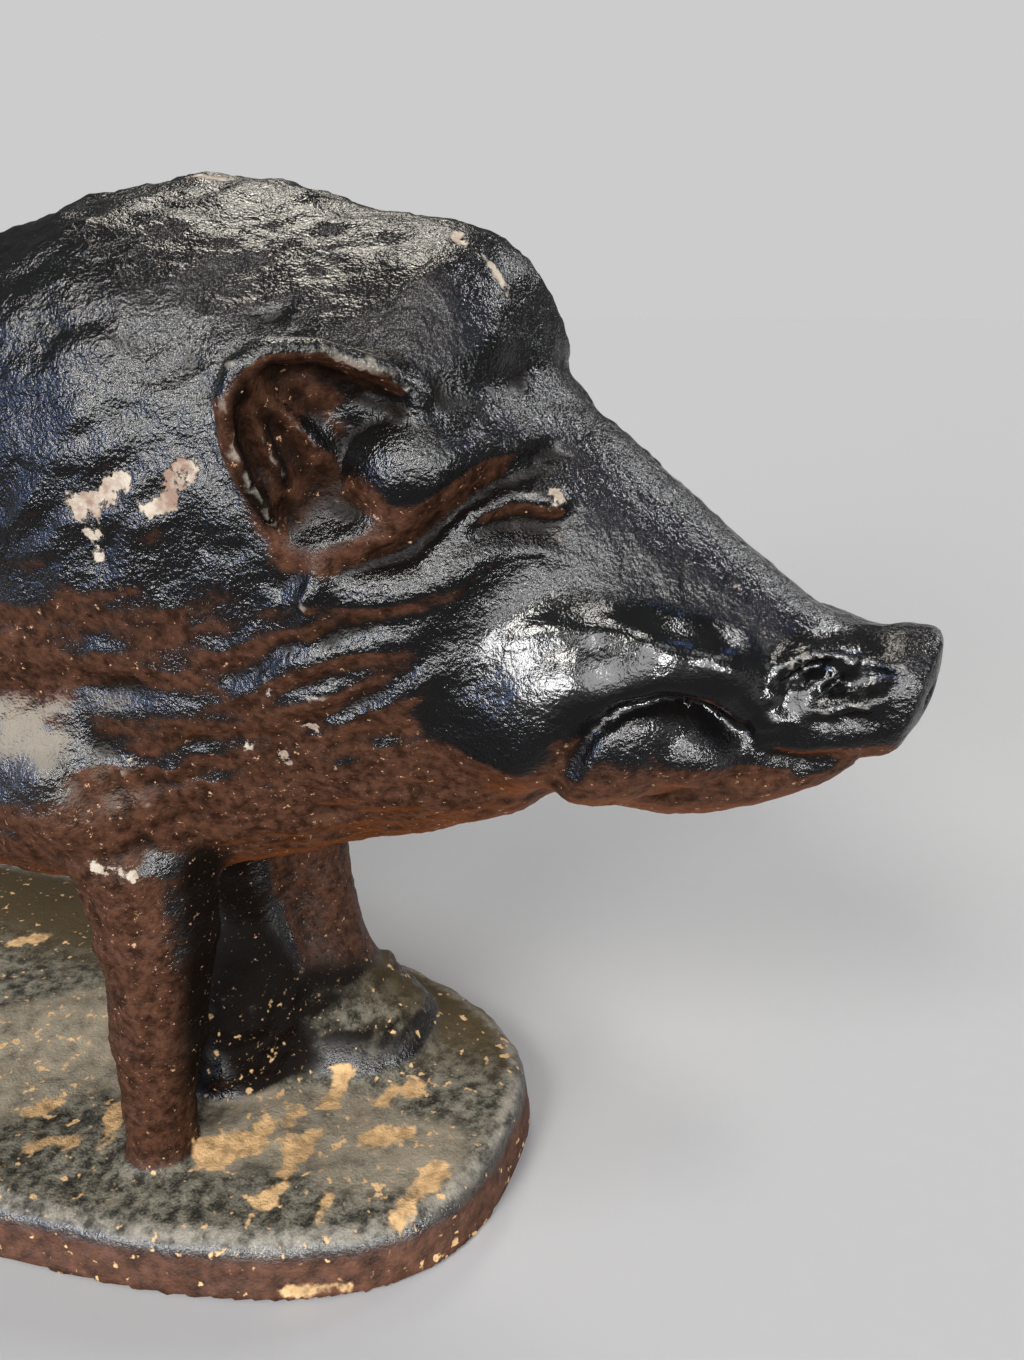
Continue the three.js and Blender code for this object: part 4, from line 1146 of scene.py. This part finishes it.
    # Brown painted in as the reflection of a brown table below, and in the ear as shade too.
    thin: tuple[Blot, ...] = (
        Blot((76.0, -28.0, 110.0), (79.0, -25.0, 102.0), 6.5),
        Blot((82.0, -24.0, 99.0), (92.0, -18.5, 104.6), 2.4),
        Blot((44.0, -24.0, 60.0), (44.0, -22.0, 12.0), 8.0),
        Blot((10.0, -28.0, 86.0), (40.0, -28.0, 82.0), 7.0),
        Blot((50.0, -26.0, 66.0), (80.0, -18.0, 58.0), 5.5),
        Blot((52.0, 14.0, 54.0), (56.0, 15.0, 16.0), 9.0),
        Blot((100.0, -13.0, 70.0), (118.0, -8.0, 71.0), 4.0),
    )
    # Painted shade in the ear's narrow grooves.
    grooves: tuple[Blot, ...] = (
        Blot((76.2, -32.4, 112.7), (75.2, -31.4, 108.8), 1.0),
        Blot((75.2, -31.4, 108.8), (75.9, -31.7, 104.5), 1.1),
        Blot((75.9, -31.7, 104.5), (76.5, -30.0, 100.8), 1.0),
        Blot((75.7, -28.0, 110.2), (76.2, -27.4, 106.6), 0.8),
        Blot((76.2, -27.4, 106.6), (77.3, -27.5, 103.0), 0.8),
        Blot((79.5, -24.9, 114.2), (81.9, -22.0, 112.4), 1.0),
        Blot((81.9, -22.0, 112.4), (85.8, -22.5, 110.7), 1.0),
    )
    # Places kept black, clear of the painted brown reflection.
    clear_of_brown_reflection: tuple[Blot, ...] = (
        Blot((95.0, -21.0, 86.0), (110.0, -16.0, 87.0), 6.0),
        Blot((118.0, -10.0, 82.0), (134.0, -4.0, 84.0), 5.5),
        Blot((107.5, -15.0, 81.5), (114.0, -12.0, 80.0), 2.6),
        Blot((90.0, -22.0, 80.0), (96.0, -21.0, 78.0), 4.0),
        Blot((83.0, -25.0, 107.0), (89.0, -21.0, 106.0), 5.5),
    )

    soft_edge_mm: Spot = (-2.2, 1.6)
    groove_edge_mm: Spot = (-0.7, 0.5)
    # Height below which the painted brown reflection sets in, and how much lower that is at the snout.
    brown_below_mm: float = 92.0
    lower_at_snout_mm: float = 15.0

    @staticmethod
    def _deepest(blots: tuple[Blot, ...], points: Array) -> Array:
        """Nearness to the nearest of several patches, kept between -4 and 4 mm."""
        best = np.full(len(points), -4.0)
        for blot in blots:
            best = np.maximum(best, blot.nearness(points))
        return np.clip(best, -4.0, 4.0)

    def numbers(self, points: Array) -> dict[str, Array]:
        """The wear at each place: nearness in millimetres, or a share from 0 to 1.

        Args:
            points: Places in millimetres.

        Returns:
            One number a place under each name.
        """
        kept = {"chip": self._deepest(self.chips, points), "bare": self._deepest(self.bare, points)}
        kept["notch"] = self._deepest(self.notches, points)
        for name in ("haze", "shelf", "rubbed", "smooth", "painted_shade", "thin", "clear_of_brown_reflection"):
            kept[name] = ease(self._deepest(getattr(self, name), points), *self.soft_edge_mm)
        grooves = ease(self._deepest(self.grooves, points), *self.groove_edge_mm)
        kept["painted_shade"] = np.maximum(kept["painted_shade"], grooves)
        kept["thin"] -= 0.6 * kept.pop("clear_of_brown_reflection")
        kept["far"] = ease(points[:, 1], 4.0, 20.0)
        brown_below = self.brown_below_mm - self.lower_at_snout_mm * ease(points[:, 0], 72.0, 98.0)
        kept["upper"] = ease(points[:, 2] - brown_below, -7.0, 8.0)
        return kept


# Finishes


class Node(Enum):
    """The kinds of node that the finishes use, by Blender's own names."""

    PLACE = "ShaderNodeTexCoord"
    SURFACE = "ShaderNodeNewGeometry"
    KEPT = "ShaderNodeAttribute"
    TURN = "ShaderNodeMapping"
    SPLIT = "ShaderNodeSeparateXYZ"
    NOISE = "ShaderNodeTexNoise"
    RAMP = "ShaderNodeMapRange"
    MATH = "ShaderNodeMath"
    MIX = "ShaderNodeMix"
    BUMP = "ShaderNodeBump"
    SHADER = "ShaderNodeBsdfPrincipled"
    GLOW = "ShaderNodeBackground"
    RAY = "ShaderNodeLightPath"
    BLEND = "ShaderNodeMixShader"
    OUTPUT = "ShaderNodeOutputMaterial"
    WORLD = "ShaderNodeOutputWorld"


def add_node(
    tree: bpy.types.NodeTree, kind: Node, *inputs: object, out: int | str = 0, **more: object
) -> bpy.types.NodeSocket | None:
    """Adds a node with its settings and links.

    Args:
        tree: Node tree to add to.
        kind: Kind of node.
        *inputs: For each input in order, a socket to link from or a value to set.
        out: Which output is wanted, by place or by name.
        **more: Settings of the node, which start with a small letter, and further inputs by
            name, which start with a capital and have an underscore for each space.

    Returns:
        The output asked for, or nothing for a node that has none.
    """
    node = tree.nodes.new(kind.value)
    given: list[tuple[int | str, object]] = list(enumerate(inputs))
    for name, value in more.items():
        if name[0].isupper():
            given.append((name.replace("_", " "), value))
        else:
            setattr(node, name, value)
    for key, value in given:
        socket = node.inputs[key]
        if isinstance(key, str) and not socket.enabled:
            socket = next(s for s in node.inputs if s.name == key and s.enabled)
        if isinstance(value, bpy.types.NodeSocket):
            tree.links.new(value, socket)
        else:
            socket.default_value = value
    return node.outputs[out] if len(node.outputs) else None


@dataclass(frozen=True)
class BlackEnamelOnCastIron:
    """Glossy black enamel brushed over sand-cast iron, rubbed, chipped and dusty.

    The enamel follows the sand's grain, so its gloss breaks up into small bright glints.
    It is black where it faces up. Where it faces down, low down and in listed places, brown
    is painted in as the reflection of a brown table below, and orange on the lowest faces.
    Hollows and the room between the legs are painted near-black as shade, and pale painted
    glints fleck the brown and the shade. The plinth's side is painted brown as a reflection,
    and its rim and the ledge over the elbow carry painted highlights. Proud edges are rubbed
    grey, chips show a pale primer, and the ground is dusty with bare tan places.
    """

    name: str = "black_enamel_on_sand_cast_iron"
    enamel: str = "#0D0D0E"
    # Brown and orange painted in as reflections of a brown table below.
    enamel_thin: str = "#54382A"
    enamel_thin_dark: str = "#2C1B13"
    orange_reflection: str = "#84471F"
    # Near-black painted shade.
    painted_shade: str = "#150F0B"
    rubbed: str = "#A79F92"
    primer: str = "#BEB3A2"
    primer_dark: str = "#8E7668"
    # Pale painted glints.
    painted_glint: str = "#C79F80"
    tan: str = "#DDB685"
    tan_dark: str = "#A98A62"
    soil_dark: str = "#2F2D26"
    soil_pale: str = "#8F8A7A"
    soil_olive: str = "#4F422A"
    soil_haze: str = "#A99D88"
    # Plinth side: brown painted in as a reflection of the table.
    side: str = "#664536"
    side_dark: str = "#33231B"
    # Rim band: rubbed grey, and partly a painted highlight.
    rim: str = "#A8A297"
    # Painted highlight on the ledge over the elbow.
    shelf_highlight: str = "#8C8478"
    # Alkyd enamel is about 1.5; raised to the strength of the object's highlights.
    ior: float = 1.8
    gloss: float = 0.18
    gloss_thin: float = 0.42
    gloss_rubbed: float = 0.5
    gloss_bare: float = 0.85
    specular: float = 0.5
    specular_lost_when_dull: float = 0.42
    # Brush marks and sand grit are nearer 0.2 mm; drawn a little coarser so that they show.
    streak_mm: Point = (2.6, 0.9, 0.75)
    streak_lean: float = 24.0
    streak_height_mm: float = 0.08
    grit_mm: float = 0.36
    grit_height_mm: float = 0.15
    grain_mm: float = 1.0
    grain_height_mm: float = 0.2
    painted_glint_mm: float = 0.9

    def material(self) -> bpy.types.Material:
        """Builds the node material.

        Returns:
            The material.
        """
        made = bpy.data.materials.new(self.name)
        made.use_nodes = True
        tree = made.node_tree
        tree.nodes.clear()
        add = partial(add_node, tree)
        place = add(Node.PLACE, out="Object")
        noise = {
            size: add(Node.NOISE, Vector=place, Scale=1.0 / (size * MM), Detail=detail, Roughness=rough)
            for size, detail, rough in (
                (14.0, 3.0, 0.5), (5.0, 4.0, 0.6), (2.2, 5.0, 0.65), (1.5, 2.0, 0.5),
                (self.grain_mm, 2.0, 0.55), (self.grit_mm, 2.0, 0.6),
            )
        }
        broad, patch, blotch, crumb, grain, grit = noise.values()
        kept = {
            name: add(Node.KEPT, attribute_name=name, out="Fac")
            for name in (
                "ground", "chip", "bare", "haze", "shelf", "rubbed", "smooth", "painted_shade", "thin",
                "far", "worn", "hollow", "side", "rim", "low", "upper",
            )
        }

        # Chips and bare places have ragged edges, and crumbs of bare ground lie about them.
        ragged = add(Node.MATH, blotch, 5.2, kept["chip"], operation="MULTIPLY_ADD")
        chip = add(Node.RAMP, ragged, 2.75, 3.05, interpolation_type="SMOOTHSTEP")
        ragged = add(Node.MATH, patch, 4.4, kept["bare"], operation="MULTIPLY_ADD")
        ragged = add(Node.MATH, crumb, 1.8, ragged, operation="MULTIPLY_ADD")
        bare = add(Node.RAMP, ragged, 2.45, 3.3, interpolation_type="SMOOTHSTEP")
        strewn = add(Node.MATH, patch, 0.5, crumb, operation="MULTIPLY_ADD")
        strewn = add(Node.MATH, kept["haze"], 0.05, strewn, operation="MULTIPLY_ADD")
        strewn = add(Node.RAMP, strewn, 0.9, 0.99, interpolation_type="SMOOTHSTEP")
        crumbs = add(Node.MATH, strewn, kept["ground"], operation="MULTIPLY")

        # Relief too fine for the skin, in millimetres: brushed streaks, grain and grit.
        turned = add(
            Node.TURN, place, Rotation=(0.0, -math.radians(self.streak_lean), 0.0),
            Scale=tuple(size * MM for size in self.streak_mm), vector_type="TEXTURE",
        )
        relief = add(Node.NOISE, Vector=turned, Scale=1.0, Detail=2.0)
        relief = add(Node.MATH, relief, self.streak_height_mm, operation="MULTIPLY")
        relief = add(Node.MATH, grain, self.grain_height_mm, relief, operation="MULTIPLY_ADD")
        relief = add(Node.MATH, grit, self.grit_height_mm, relief, operation="MULTIPLY_ADD")
        kept_share = add(Node.MATH, kept["smooth"], -0.7, 1.0, operation="MULTIPLY_ADD")
        relief = add(Node.MATH, relief, kept_share, operation="MULTIPLY")
        relief = add(Node.MATH, chip, -0.1, relief, operation="MULTIPLY_ADD")
        bump = add(Node.BUMP, Strength=1.0, Distance=MM, Height=relief)
        facing = add(Node.SPLIT, bump, out="Z")
        level = add(Node.SPLIT, add(Node.SURFACE, out="Normal"), out="Z")

        # Black enamel, with brown painted in where it faces down, low down and in listed places: a painted
        # reflection of a brown table below.
        lean = add(Node.MATH, facing, 0.4, operation="MULTIPLY")
        lean = add(Node.MATH, level, 0.6, lean, operation="MULTIPLY_ADD")
        lean = add(Node.MATH, broad, 0.36, lean, operation="MULTIPLY_ADD")
        lean = add(Node.MATH, kept["thin"], -0.8, lean, operation="MULTIPLY_ADD")
        lean = add(Node.MATH, kept["upper"], 0.26, lean, operation="MULTIPLY_ADD")
        thin = add(Node.RAMP, lean, 0.16, -0.1, interpolation_type="SMOOTHSTEP")
        mottle = add(Node.MATH, grain, 0.7, blotch, operation="MULTIPLY_ADD")
        mottle = add(Node.RAMP, mottle, 0.68, 1.0)
        brown = add(
            Node.MIX, Factor=mottle, A=linear(self.enamel_thin_dark), B=linear(self.enamel_thin),
            data_type="RGBA", out=2,
        )
        paint = add(Node.MIX, Factor=thin, A=linear(self.enamel), B=brown, data_type="RGBA", out=2)
        # Orange painted on the lowest down-facing faces: the table's reflection at a grazing angle.
        under = add(Node.RAMP, level, -0.55, -1.0, interpolation_type="SMOOTHSTEP")
        under = add(Node.MATH, under, kept["low"], operation="MULTIPLY")
        paint = add(Node.MIX, Factor=under, A=paint, B=linear(self.orange_reflection), data_type="RGBA", out=2)

        # Painted shade: near-black and dull in the hollows, the ear's grooves and between the legs.
        hollow = add(Node.MATH, kept["hollow"], 0.75, operation="MULTIPLY")
        painted_shade = add(Node.MATH, hollow, kept["painted_shade"], operation="MAXIMUM")
        paint = add(Node.MIX, Factor=painted_shade, A=paint, B=linear(self.painted_shade), data_type="RGBA", out=2)

        # Painted glints: small ragged pale flecks over the painted shade and the painted brown reflection.
        painted_glint = add(
            Node.NOISE, Vector=place, Scale=1.0 / (self.painted_glint_mm * MM), Detail=4.0, Roughness=0.75,
        )
        painted_glint = add(Node.RAMP, painted_glint, 0.63, 0.7, interpolation_type="SMOOTHSTEP")
        painted_shade_and_reflection = add(Node.MATH, kept["painted_shade"], thin, operation="MAXIMUM")
        painted_glint = add(Node.MATH, painted_glint, painted_shade_and_reflection, operation="MULTIPLY")
        paint = add(Node.MIX, Factor=painted_glint, A=paint, B=linear(self.painted_glint), data_type="RGBA", out=2)

        # Proud edges rubbed grey.
        rubbed = add(Node.MATH, blotch, 0.7, kept["worn"], operation="MULTIPLY_ADD")
        rubbed = add(Node.RAMP, rubbed, 1.2, 1.42, interpolation_type="SMOOTHSTEP")
        rubbed = add(Node.MATH, rubbed, 0.55, operation="MULTIPLY")
        patchy = add(Node.RAMP, blotch, 0.34, 0.5, 0.15, 0.9)
        patchy = add(Node.MATH, patchy, kept["rubbed"], operation="MULTIPLY")
        rubbed = add(Node.MATH, rubbed, patchy, operation="MAXIMUM")
        paint = add(Node.MIX, Factor=rubbed, A=paint, B=linear(self.rubbed), data_type="RGBA", out=2)

        # Plinth side: brown painted in as a reflection of a brown table below.
        flat = add(Node.RAMP, level, 0.5, 0.9, interpolation_type="SMOOTHSTEP")
        mottle = add(Node.RAMP, blotch, 0.3, 0.66)
        painted_side_reflection = add(
            Node.MIX, Factor=mottle, A=linear(self.side_dark), B=linear(self.side),
            data_type="RGBA", out=2,
        )
        paint = add(Node.MIX, Factor=kept["side"], A=paint, B=painted_side_reflection, data_type="RGBA", out=2)

        # Dust and soil on what lies level.
        mottle = add(Node.MATH, grit, 0.3, blotch, operation="MULTIPLY_ADD")
        mottle = add(Node.RAMP, mottle, 0.5, 0.82, interpolation_type="SMOOTHSTEP")
        soil = add(
            Node.MIX, Factor=mottle, A=linear(self.soil_dark), B=linear(self.soil_pale),
            data_type="RGBA", out=2,
        )
        hazy = add(Node.RAMP, patch, 0.3, 0.62, 0.2, 1.0)
        hazy = add(Node.MATH, hazy, kept["haze"], operation="MULTIPLY")
        soil = add(Node.MIX, Factor=hazy, A=soil, B=linear(self.soil_haze), data_type="RGBA", out=2)
        soil = add(Node.MIX, Factor=kept["far"], A=soil, B=linear(self.soil_olive), data_type="RGBA", out=2)
        dusty = add(Node.MATH, kept["ground"], flat, operation="MULTIPLY")
        dusty = add(Node.MATH, dusty, 0.88, operation="MULTIPLY")
        paint = add(Node.MIX, Factor=dusty, A=paint, B=soil, data_type="RGBA", out=2)
        # Plinth rim band: rubbed grey, with a painted highlight along its rounded edge.
        banded = add(Node.RAMP, blotch, 0.34, 0.6, 0.05, 0.6)
        banded = add(Node.MATH, banded, kept["rim"], operation="MULTIPLY")
        paint = add(Node.MIX, Factor=banded, A=paint, B=linear(self.rim), data_type="RGBA", out=2)
        # Painted highlight, paler where the ledge over the elbow faces up.
        shelf = add(Node.MATH, blotch, 1.1, facing, operation="MULTIPLY_ADD")
        shelf = add(Node.RAMP, shelf, 0.62, 1.12, interpolation_type="SMOOTHSTEP")
        shelf = add(Node.MATH, shelf, kept["shelf"], operation="MULTIPLY")
        paint = add(Node.MIX, Factor=shelf, A=paint, B=linear(self.shelf_highlight), data_type="RGBA", out=2)

        # Bare ground and primer.
        mottle = add(Node.RAMP, crumb, 0.3, 0.6)
        tan = add(
            Node.MIX, Factor=mottle, A=linear(self.tan_dark), B=linear(self.tan),
            data_type="RGBA", out=2,
        )
        mottle = add(Node.MATH, grain, 0.5, patch, operation="MULTIPLY_ADD")
        mottle = add(Node.RAMP, mottle, 0.6, 0.85)
        primer = add(
            Node.MIX, Factor=mottle, A=linear(self.primer_dark), B=linear(self.primer),
            data_type="RGBA", out=2,
        )
        strewn = add(Node.MATH, bare, crumbs, operation="MAXIMUM")
        paint = add(Node.MIX, Factor=strewn, A=paint, B=tan, data_type="RGBA", out=2)
        paint = add(Node.MIX, Factor=chip, A=paint, B=primer, data_type="RGBA", out=2)

        # Gloss: dull where dusty, bare or chipped, and under the painted shade, the painted ledge highlight
        # and the painted glints.
        dull = add(Node.MATH, dusty, shelf, operation="MAXIMUM")
        for other in (strewn, chip, painted_shade, painted_glint):
            dull = add(Node.MATH, dull, other, operation="MAXIMUM")
        half_dull = add(Node.MATH, kept["side"], 0.8, operation="MULTIPLY")
        dull = add(Node.MATH, dull, half_dull, operation="MAXIMUM")
        rough = add(Node.MATH, patch, 0.2, self.gloss - 0.1, operation="MULTIPLY_ADD")
        rough = add(Node.MATH, kept["smooth"], -0.05, rough, operation="MULTIPLY_ADD")
        duller = ((thin, self.gloss_thin), (rubbed, self.gloss_rubbed), (dull, self.gloss_bare))
        for share, roughness in duller:
            least = add(Node.MATH, share, roughness, operation="MULTIPLY")
            rough = add(Node.MATH, rough, least, operation="MAXIMUM")
        lost = add(Node.MATH, thin, dull, operation="MAXIMUM")
        sheen = add(Node.MATH, lost, -self.specular_lost_when_dull, self.specular, operation="MULTIPLY_ADD")
        handled = add(Node.RAMP, facing, -0.04, 0.3, 0.12, 1.0, interpolation_type="SMOOTHSTEP")
        sheen = add(Node.MATH, sheen, handled, operation="MULTIPLY")
        shader = add(
            Node.SHADER, Base_Color=paint, Roughness=rough, Normal=bump, Metallic=0.0, IOR=self.ior,
            Specular_IOR_Level=sheen,
        )
        add(Node.OUTPUT, Surface=shader)
        return made


@dataclass(frozen=True)
class MattPaperFloor:
    """Pale matt paper swept over the studio table: even, with a faint tooth."""

    name: str = "pale_matt_paper"
    colour: str = "#C5C6C8"
    colour_dark: str = "#C2C3C5"
    roughness: float = 1.0
    # Paper's own tooth is under 0.1 mm; drawn coarser so that it shows at all.
    tooth_mm: float = 3.0

    def material(self) -> bpy.types.Material:
        """Builds the node material.

        Returns:
            The material.
        """
        made = bpy.data.materials.new(self.name)
        made.use_nodes = True
        tree = made.node_tree
        tree.nodes.clear()
        place = add_node(tree, Node.PLACE, out="Object")
        tooth = add_node(tree, Node.NOISE, Vector=place, Scale=1.0 / (self.tooth_mm * MM), Detail=2.0)
        tone = add_node(
            tree, Node.MIX, Factor=tooth, A=linear(self.colour_dark), B=linear(self.colour),
            data_type="RGBA", out=2,
        )
        shader = add_node(
            tree, Node.SHADER, Base_Color=tone, Roughness=self.roughness, Specular_IOR_Level=0.0,
        )
        add_node(tree, Node.OUTPUT, Surface=shader)
        return made


# The casting


@dataclass
class BoarCasting:
    """The one casting: boar, ground and plinth."""

    node: str = "boar_on_plinth"
    slot: str = "black_painted_iron"
    name: str = "boar_casting"
    form: CastingForm = field(default_factory=CastingForm)
    grid: SkinGrid = field(default_factory=SkinGrid)
    relief: HideRelief = HideRelief()
    wear: PaintWear = PaintWear()
    finish: BlackEnamelOnCastIron = BlackEnamelOnCastIron()
    chip_depth_mm: float = 0.16
    bare_depth_mm: float = 0.12
    notch_depth_mm: float = 1.1

    def _ground(self, points: Array) -> Array:
        """1 on the plinth and its ground, 0 on the boar.

        Args:
            points: Places in millimetres.

        Returns:
            One number a place.
        """
        own = self.form.shares(points)
        x, y, z = own.T
        soil = ease(z, 3.4, 1.4)
        for mass in self.form.boar.masses:
            if "mound" in mass.name:
                near = mass.distance(x, mass.side.offset(y), z)
                soil = np.maximum(soil, ease(near, 1.6, 0.2) * ease(z, 13, 9))
        return soil

    def _proud(self, points: Array, faces: Array, normals: Array, rounds: int) -> Array:
        """How far each vertex stands out of the skin smoothed about it.

        Args:
            points: Vertices in millimetres.
            faces: Four vertex numbers a face.
            normals: Outward directions.
            rounds: How often the skin is smoothed.

        Returns:
            Millimetres for each vertex, negative in a hollow.
        """
        ends = np.concatenate([faces[:, [n, (n + 1) % 4]] for n in range(4)])
        ends = np.concatenate([ends, ends[:, ::-1]])
        count = np.maximum(np.bincount(ends[:, 0], minlength=len(points)), 1)[:, None]
        spread = points
        for _ in range(rounds):
            beside = [np.bincount(ends[:, 0], spread[ends[:, 1], n], len(points)) for n in range(3)]
            spread = np.stack(beside, axis=1) / count
        return ((points - spread) * normals).sum(axis=1)

    def build(self) -> bpy.types.Object:
        """Builds the skin and its relief.

        Returns:
            The mesh object.
        """
        points, faces = self.grid.skin(self.form)
        LOG.info("skin: %d vertices, %d faces", len(points), len(faces))
        normals = unit(self.form.slope(points))
        ground = self._ground(points)
        numbers = self.wear.numbers(points)
        height = self.relief.height(points, self.form.shares(points), ground)
        height *= 1 - 0.8 * numbers["smooth"]
        height -= self.chip_depth_mm * ease(numbers["chip"], -0.3, 0.6)
        height -= self.bare_depth_mm * ease(numbers["bare"], -0.5, 0.8)
        height -= self.notch_depth_mm * ease(numbers["notch"], -0.4, 2.0)
        height *= ease(points[:, 2], 0.2, 2.2)
        points = points + normals * height[:, None]
        points[:, 2] = np.maximum(points[:, 2], 0.0)
        x, y, z = points.T
        wall = self.form.plinth.wall(x, y, z)
        numbers["ground"] = ground
        # The plinth's side, where brown is painted in as a reflection of the table.
        numbers["side"] = ease(z, 7.2, 5.4) * ease(wall, -3.0, -1.0)
        # The plinth's rim band, rubbed grey with a painted highlight.
        numbers["rim"] = ease(np.abs(wall + 1.4), 1.7, 0.3) * ease(z, 5.8, 7.4) * ease(z, 10.5, 9.2)
        # Low down, where orange is painted in as the table's reflection.
        numbers["low"] = ease(z, 84.0, 70.0)
        numbers["worn"] = np.clip(0.5 + 1.1 * self._proud(points, faces, normals, 3), 0.0, 1.0)
        # Hollows, where the finish paints shade.
        sunk = ease(-self._proud(points, faces, normals, 11), 0.12, 0.5)
        numbers["hollow"] = sunk * (1 - ground) * (1 - numbers["smooth"])

        mesh = bpy.data.meshes.new(self.name)
        mesh.from_pydata((points * MM).tolist(), [], faces.tolist())
        for name, values in numbers.items():
            kept = mesh.attributes.new(name, "FLOAT", "POINT")
            kept.data.foreach_set("value", values.astype(np.float32))
        mesh.polygons.foreach_set("use_smooth", np.ones(len(faces), bool))
        mesh.update()
        casting = bpy.data.objects.new(self.name, mesh)
        bpy.context.scene.collection.objects.link(casting)
        self._flatten_underside(mesh)
        return casting

    def _flatten_underside(self, mesh: bpy.types.Mesh) -> None:
        """Makes the underside one flat face with a crisp edge.

        Args:
            mesh: The casting's mesh.
        """
        work = bmesh.new()
        work.from_mesh(mesh)
        under = [f for f in work.faces if all(v.co.z < 1e-6 for v in f.verts)]
        bmesh.ops.dissolve_faces(work, faces=under, use_verts=True)
        for f in work.faces:
            if len(f.verts) > 4:
                f.smooth = False
                for edge in f.edges:
                    edge.smooth = False
        work.to_mesh(mesh)
        work.free()

    def dress(self, casting: bpy.types.Object) -> None:
        """Gives the casting its finish and its place in the frame.

        Args:
            casting: The casting's object.
        """
        casting.data.materials.append(self.finish.material())
        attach(casting, "root")
        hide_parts(self.node)


# Studio


@dataclass(frozen=True)
class SoftDisc:
    """A broad soft lamp far off, given by where it stands and how wide it looks."""

    name: str
    azimuth: float
    elevation: float
    width: float
    strength: float
    colour: str

    def hang(self) -> None:
        """Hangs the lamp in the scene."""
        turn, rise = math.radians(self.azimuth), math.radians(self.elevation)
        toward = Vector((math.cos(rise) * math.cos(turn), math.cos(rise) * math.sin(turn), math.sin(rise)))
        lamp = bpy.data.lights.new(self.name, "SUN")
        lamp.angle = math.radians(self.width)
        lamp.energy = self.strength
        lamp.color = linear(self.colour)[:3]
        held = bpy.data.objects.new(self.name, lamp)
        held.location = toward
        held.rotation_euler = (-toward).to_track_quat("-Z", "Y").to_euler()
        bpy.context.scene.collection.objects.link(held)


@dataclass(frozen=True)
class Studio:
    """Pale floor, even surroundings and soft lamps."""

    floor_radius: float = 12.0
    surroundings: str = "#CCCCCC"
    fill_strength: float = 0.14
    lamps: tuple[SoftDisc, ...] = (
        SoftDisc("lamp over the shoulder", -106.0, 40.0, 18.0, 1.15, "#FFFCF6"),
        SoftDisc("lamp overhead", -45.0, 74.0, 12.0, 0.4, "#FFFBF3"),
        SoftDisc("lamp over the back", 120.0, 50.0, 18.0, 0.7, "#FFF7EA"),
        SoftDisc("panel beside the snout", -62.0, 22.0, 40.0, 1.3, "#FFFFFF"),
        SoftDisc("lamp beside the camera", -104.0, 12.0, 22.0, 1.6, "#FFFFFF"),
        SoftDisc("lamp at the snout", -50.0, 32.0, 12.0, 0.35, "#FFFFFF"),
        SoftDisc("lamp before the lip", -36.0, 8.0, 12.0, 1.0, "#FFFFFF"),
        SoftDisc("lamp ahead", 62.0, 32.0, 12.0, 0.5, "#FFFFFF"),
        SoftDisc("lamp over the snout", -16.0, 42.0, 12.0, 0.1, "#FFFFFF"),
        SoftDisc("window behind the camera", -134.0, 8.0, 18.0, 0.45, "#8FB2FF"),
        SoftDisc("window ahead", 26.0, 44.0, 8.0, 0.06, "#8FB2FF"),
    )

    def floor(self) -> bpy.types.Object:
        """Lays the round floor.

        Returns:
            The floor's object.
        """
        count = 96
        turns = [2 * math.pi * n / count for n in range(count)]
        corners = [(self.floor_radius * math.cos(t), self.floor_radius * math.sin(t), 0.0) for t in turns]
        mesh = bpy.data.meshes.new("studio_floor")
        mesh.from_pydata(corners, [], [tuple(range(count))])
        mesh.update()
        floor = bpy.data.objects.new("studio_floor", mesh)
        floor.location = (0.0, 0.0, -0.0002)
        floor.data.materials.append(MattPaperFloor().material())
        bpy.context.scene.collection.objects.link(floor)
        return floor

    def surround(self) -> None:
        """Sets the even surroundings: pale to look at, dimmer as light on the figure."""
        world = bpy.data.worlds.new("studio surroundings")
        bpy.context.scene.world = world
        world.use_nodes = True
        tree = world.node_tree
        tree.nodes.clear()
        pale = linear(self.surroundings)
        seen = add_node(tree, Node.GLOW, pale, 1.0)
        fill = add_node(tree, Node.GLOW, pale, self.fill_strength)
        seen_by_camera = add_node(tree, Node.RAY, out="Is Camera Ray")
        both = add_node(tree, Node.BLEND, seen_by_camera, fill, seen)
        add_node(tree, Node.WORLD, Surface=both)
        bpy.context.scene.view_settings.view_transform = "Standard"

    def light(self) -> None:
        """Hangs every lamp."""
        for lamp in self.lamps:
            lamp.hang()


@dataclass(frozen=True)
class CloseCamera:
    """A hand-held camera close in front of the boar's right cheek."""

    at: Point = (0.1287, -0.1095, 0.1198)
    look: Point = (-0.3214, 0.8830, -0.3420)
    focal_px: float = 1027.0
    frame_px: tuple[int, int] = (1024, 1360)
    sensor: float = 36.0

    def place(self) -> None:
        """Places the camera and makes it the scene's."""
        lens = bpy.data.cameras.new("close camera")
        lens.sensor_width = self.sensor
        lens.sensor_fit = "AUTO"
        lens.lens = self.focal_px / max(self.frame_px) * self.sensor
        lens.clip_start = 0.004
        lens.clip_end = 20.0
        held = bpy.data.objects.new("close camera", lens)
        back = -Vector(self.look).normalized()
        right = Vector((0.0, 0.0, 1.0)).cross(back).normalized()
        over = back.cross(right)
        held.matrix_world = Matrix.Translation(self.at) @ Matrix((right, over, back)).transposed().to_4x4()
        bpy.context.scene.collection.objects.link(held)
        bpy.context.scene.camera = held


def main() -> None:
    """Builds the casting, dresses it and sets up the studio."""
    logging.basicConfig(level=logging.INFO, format="%(name)s: %(message)s")
    CloseCamera().place()
    part = BoarCasting()
    casting = part.build()
    LOG.info("casting: %d faces", len(casting.data.polygons))
    part.dress(casting)
    studio = Studio()
    studio.floor()
    studio.surround()
    studio.light()
    LOG.info("studio: floor and %d lamps", len(studio.lamps))


if __name__ == "__main__":
    main()
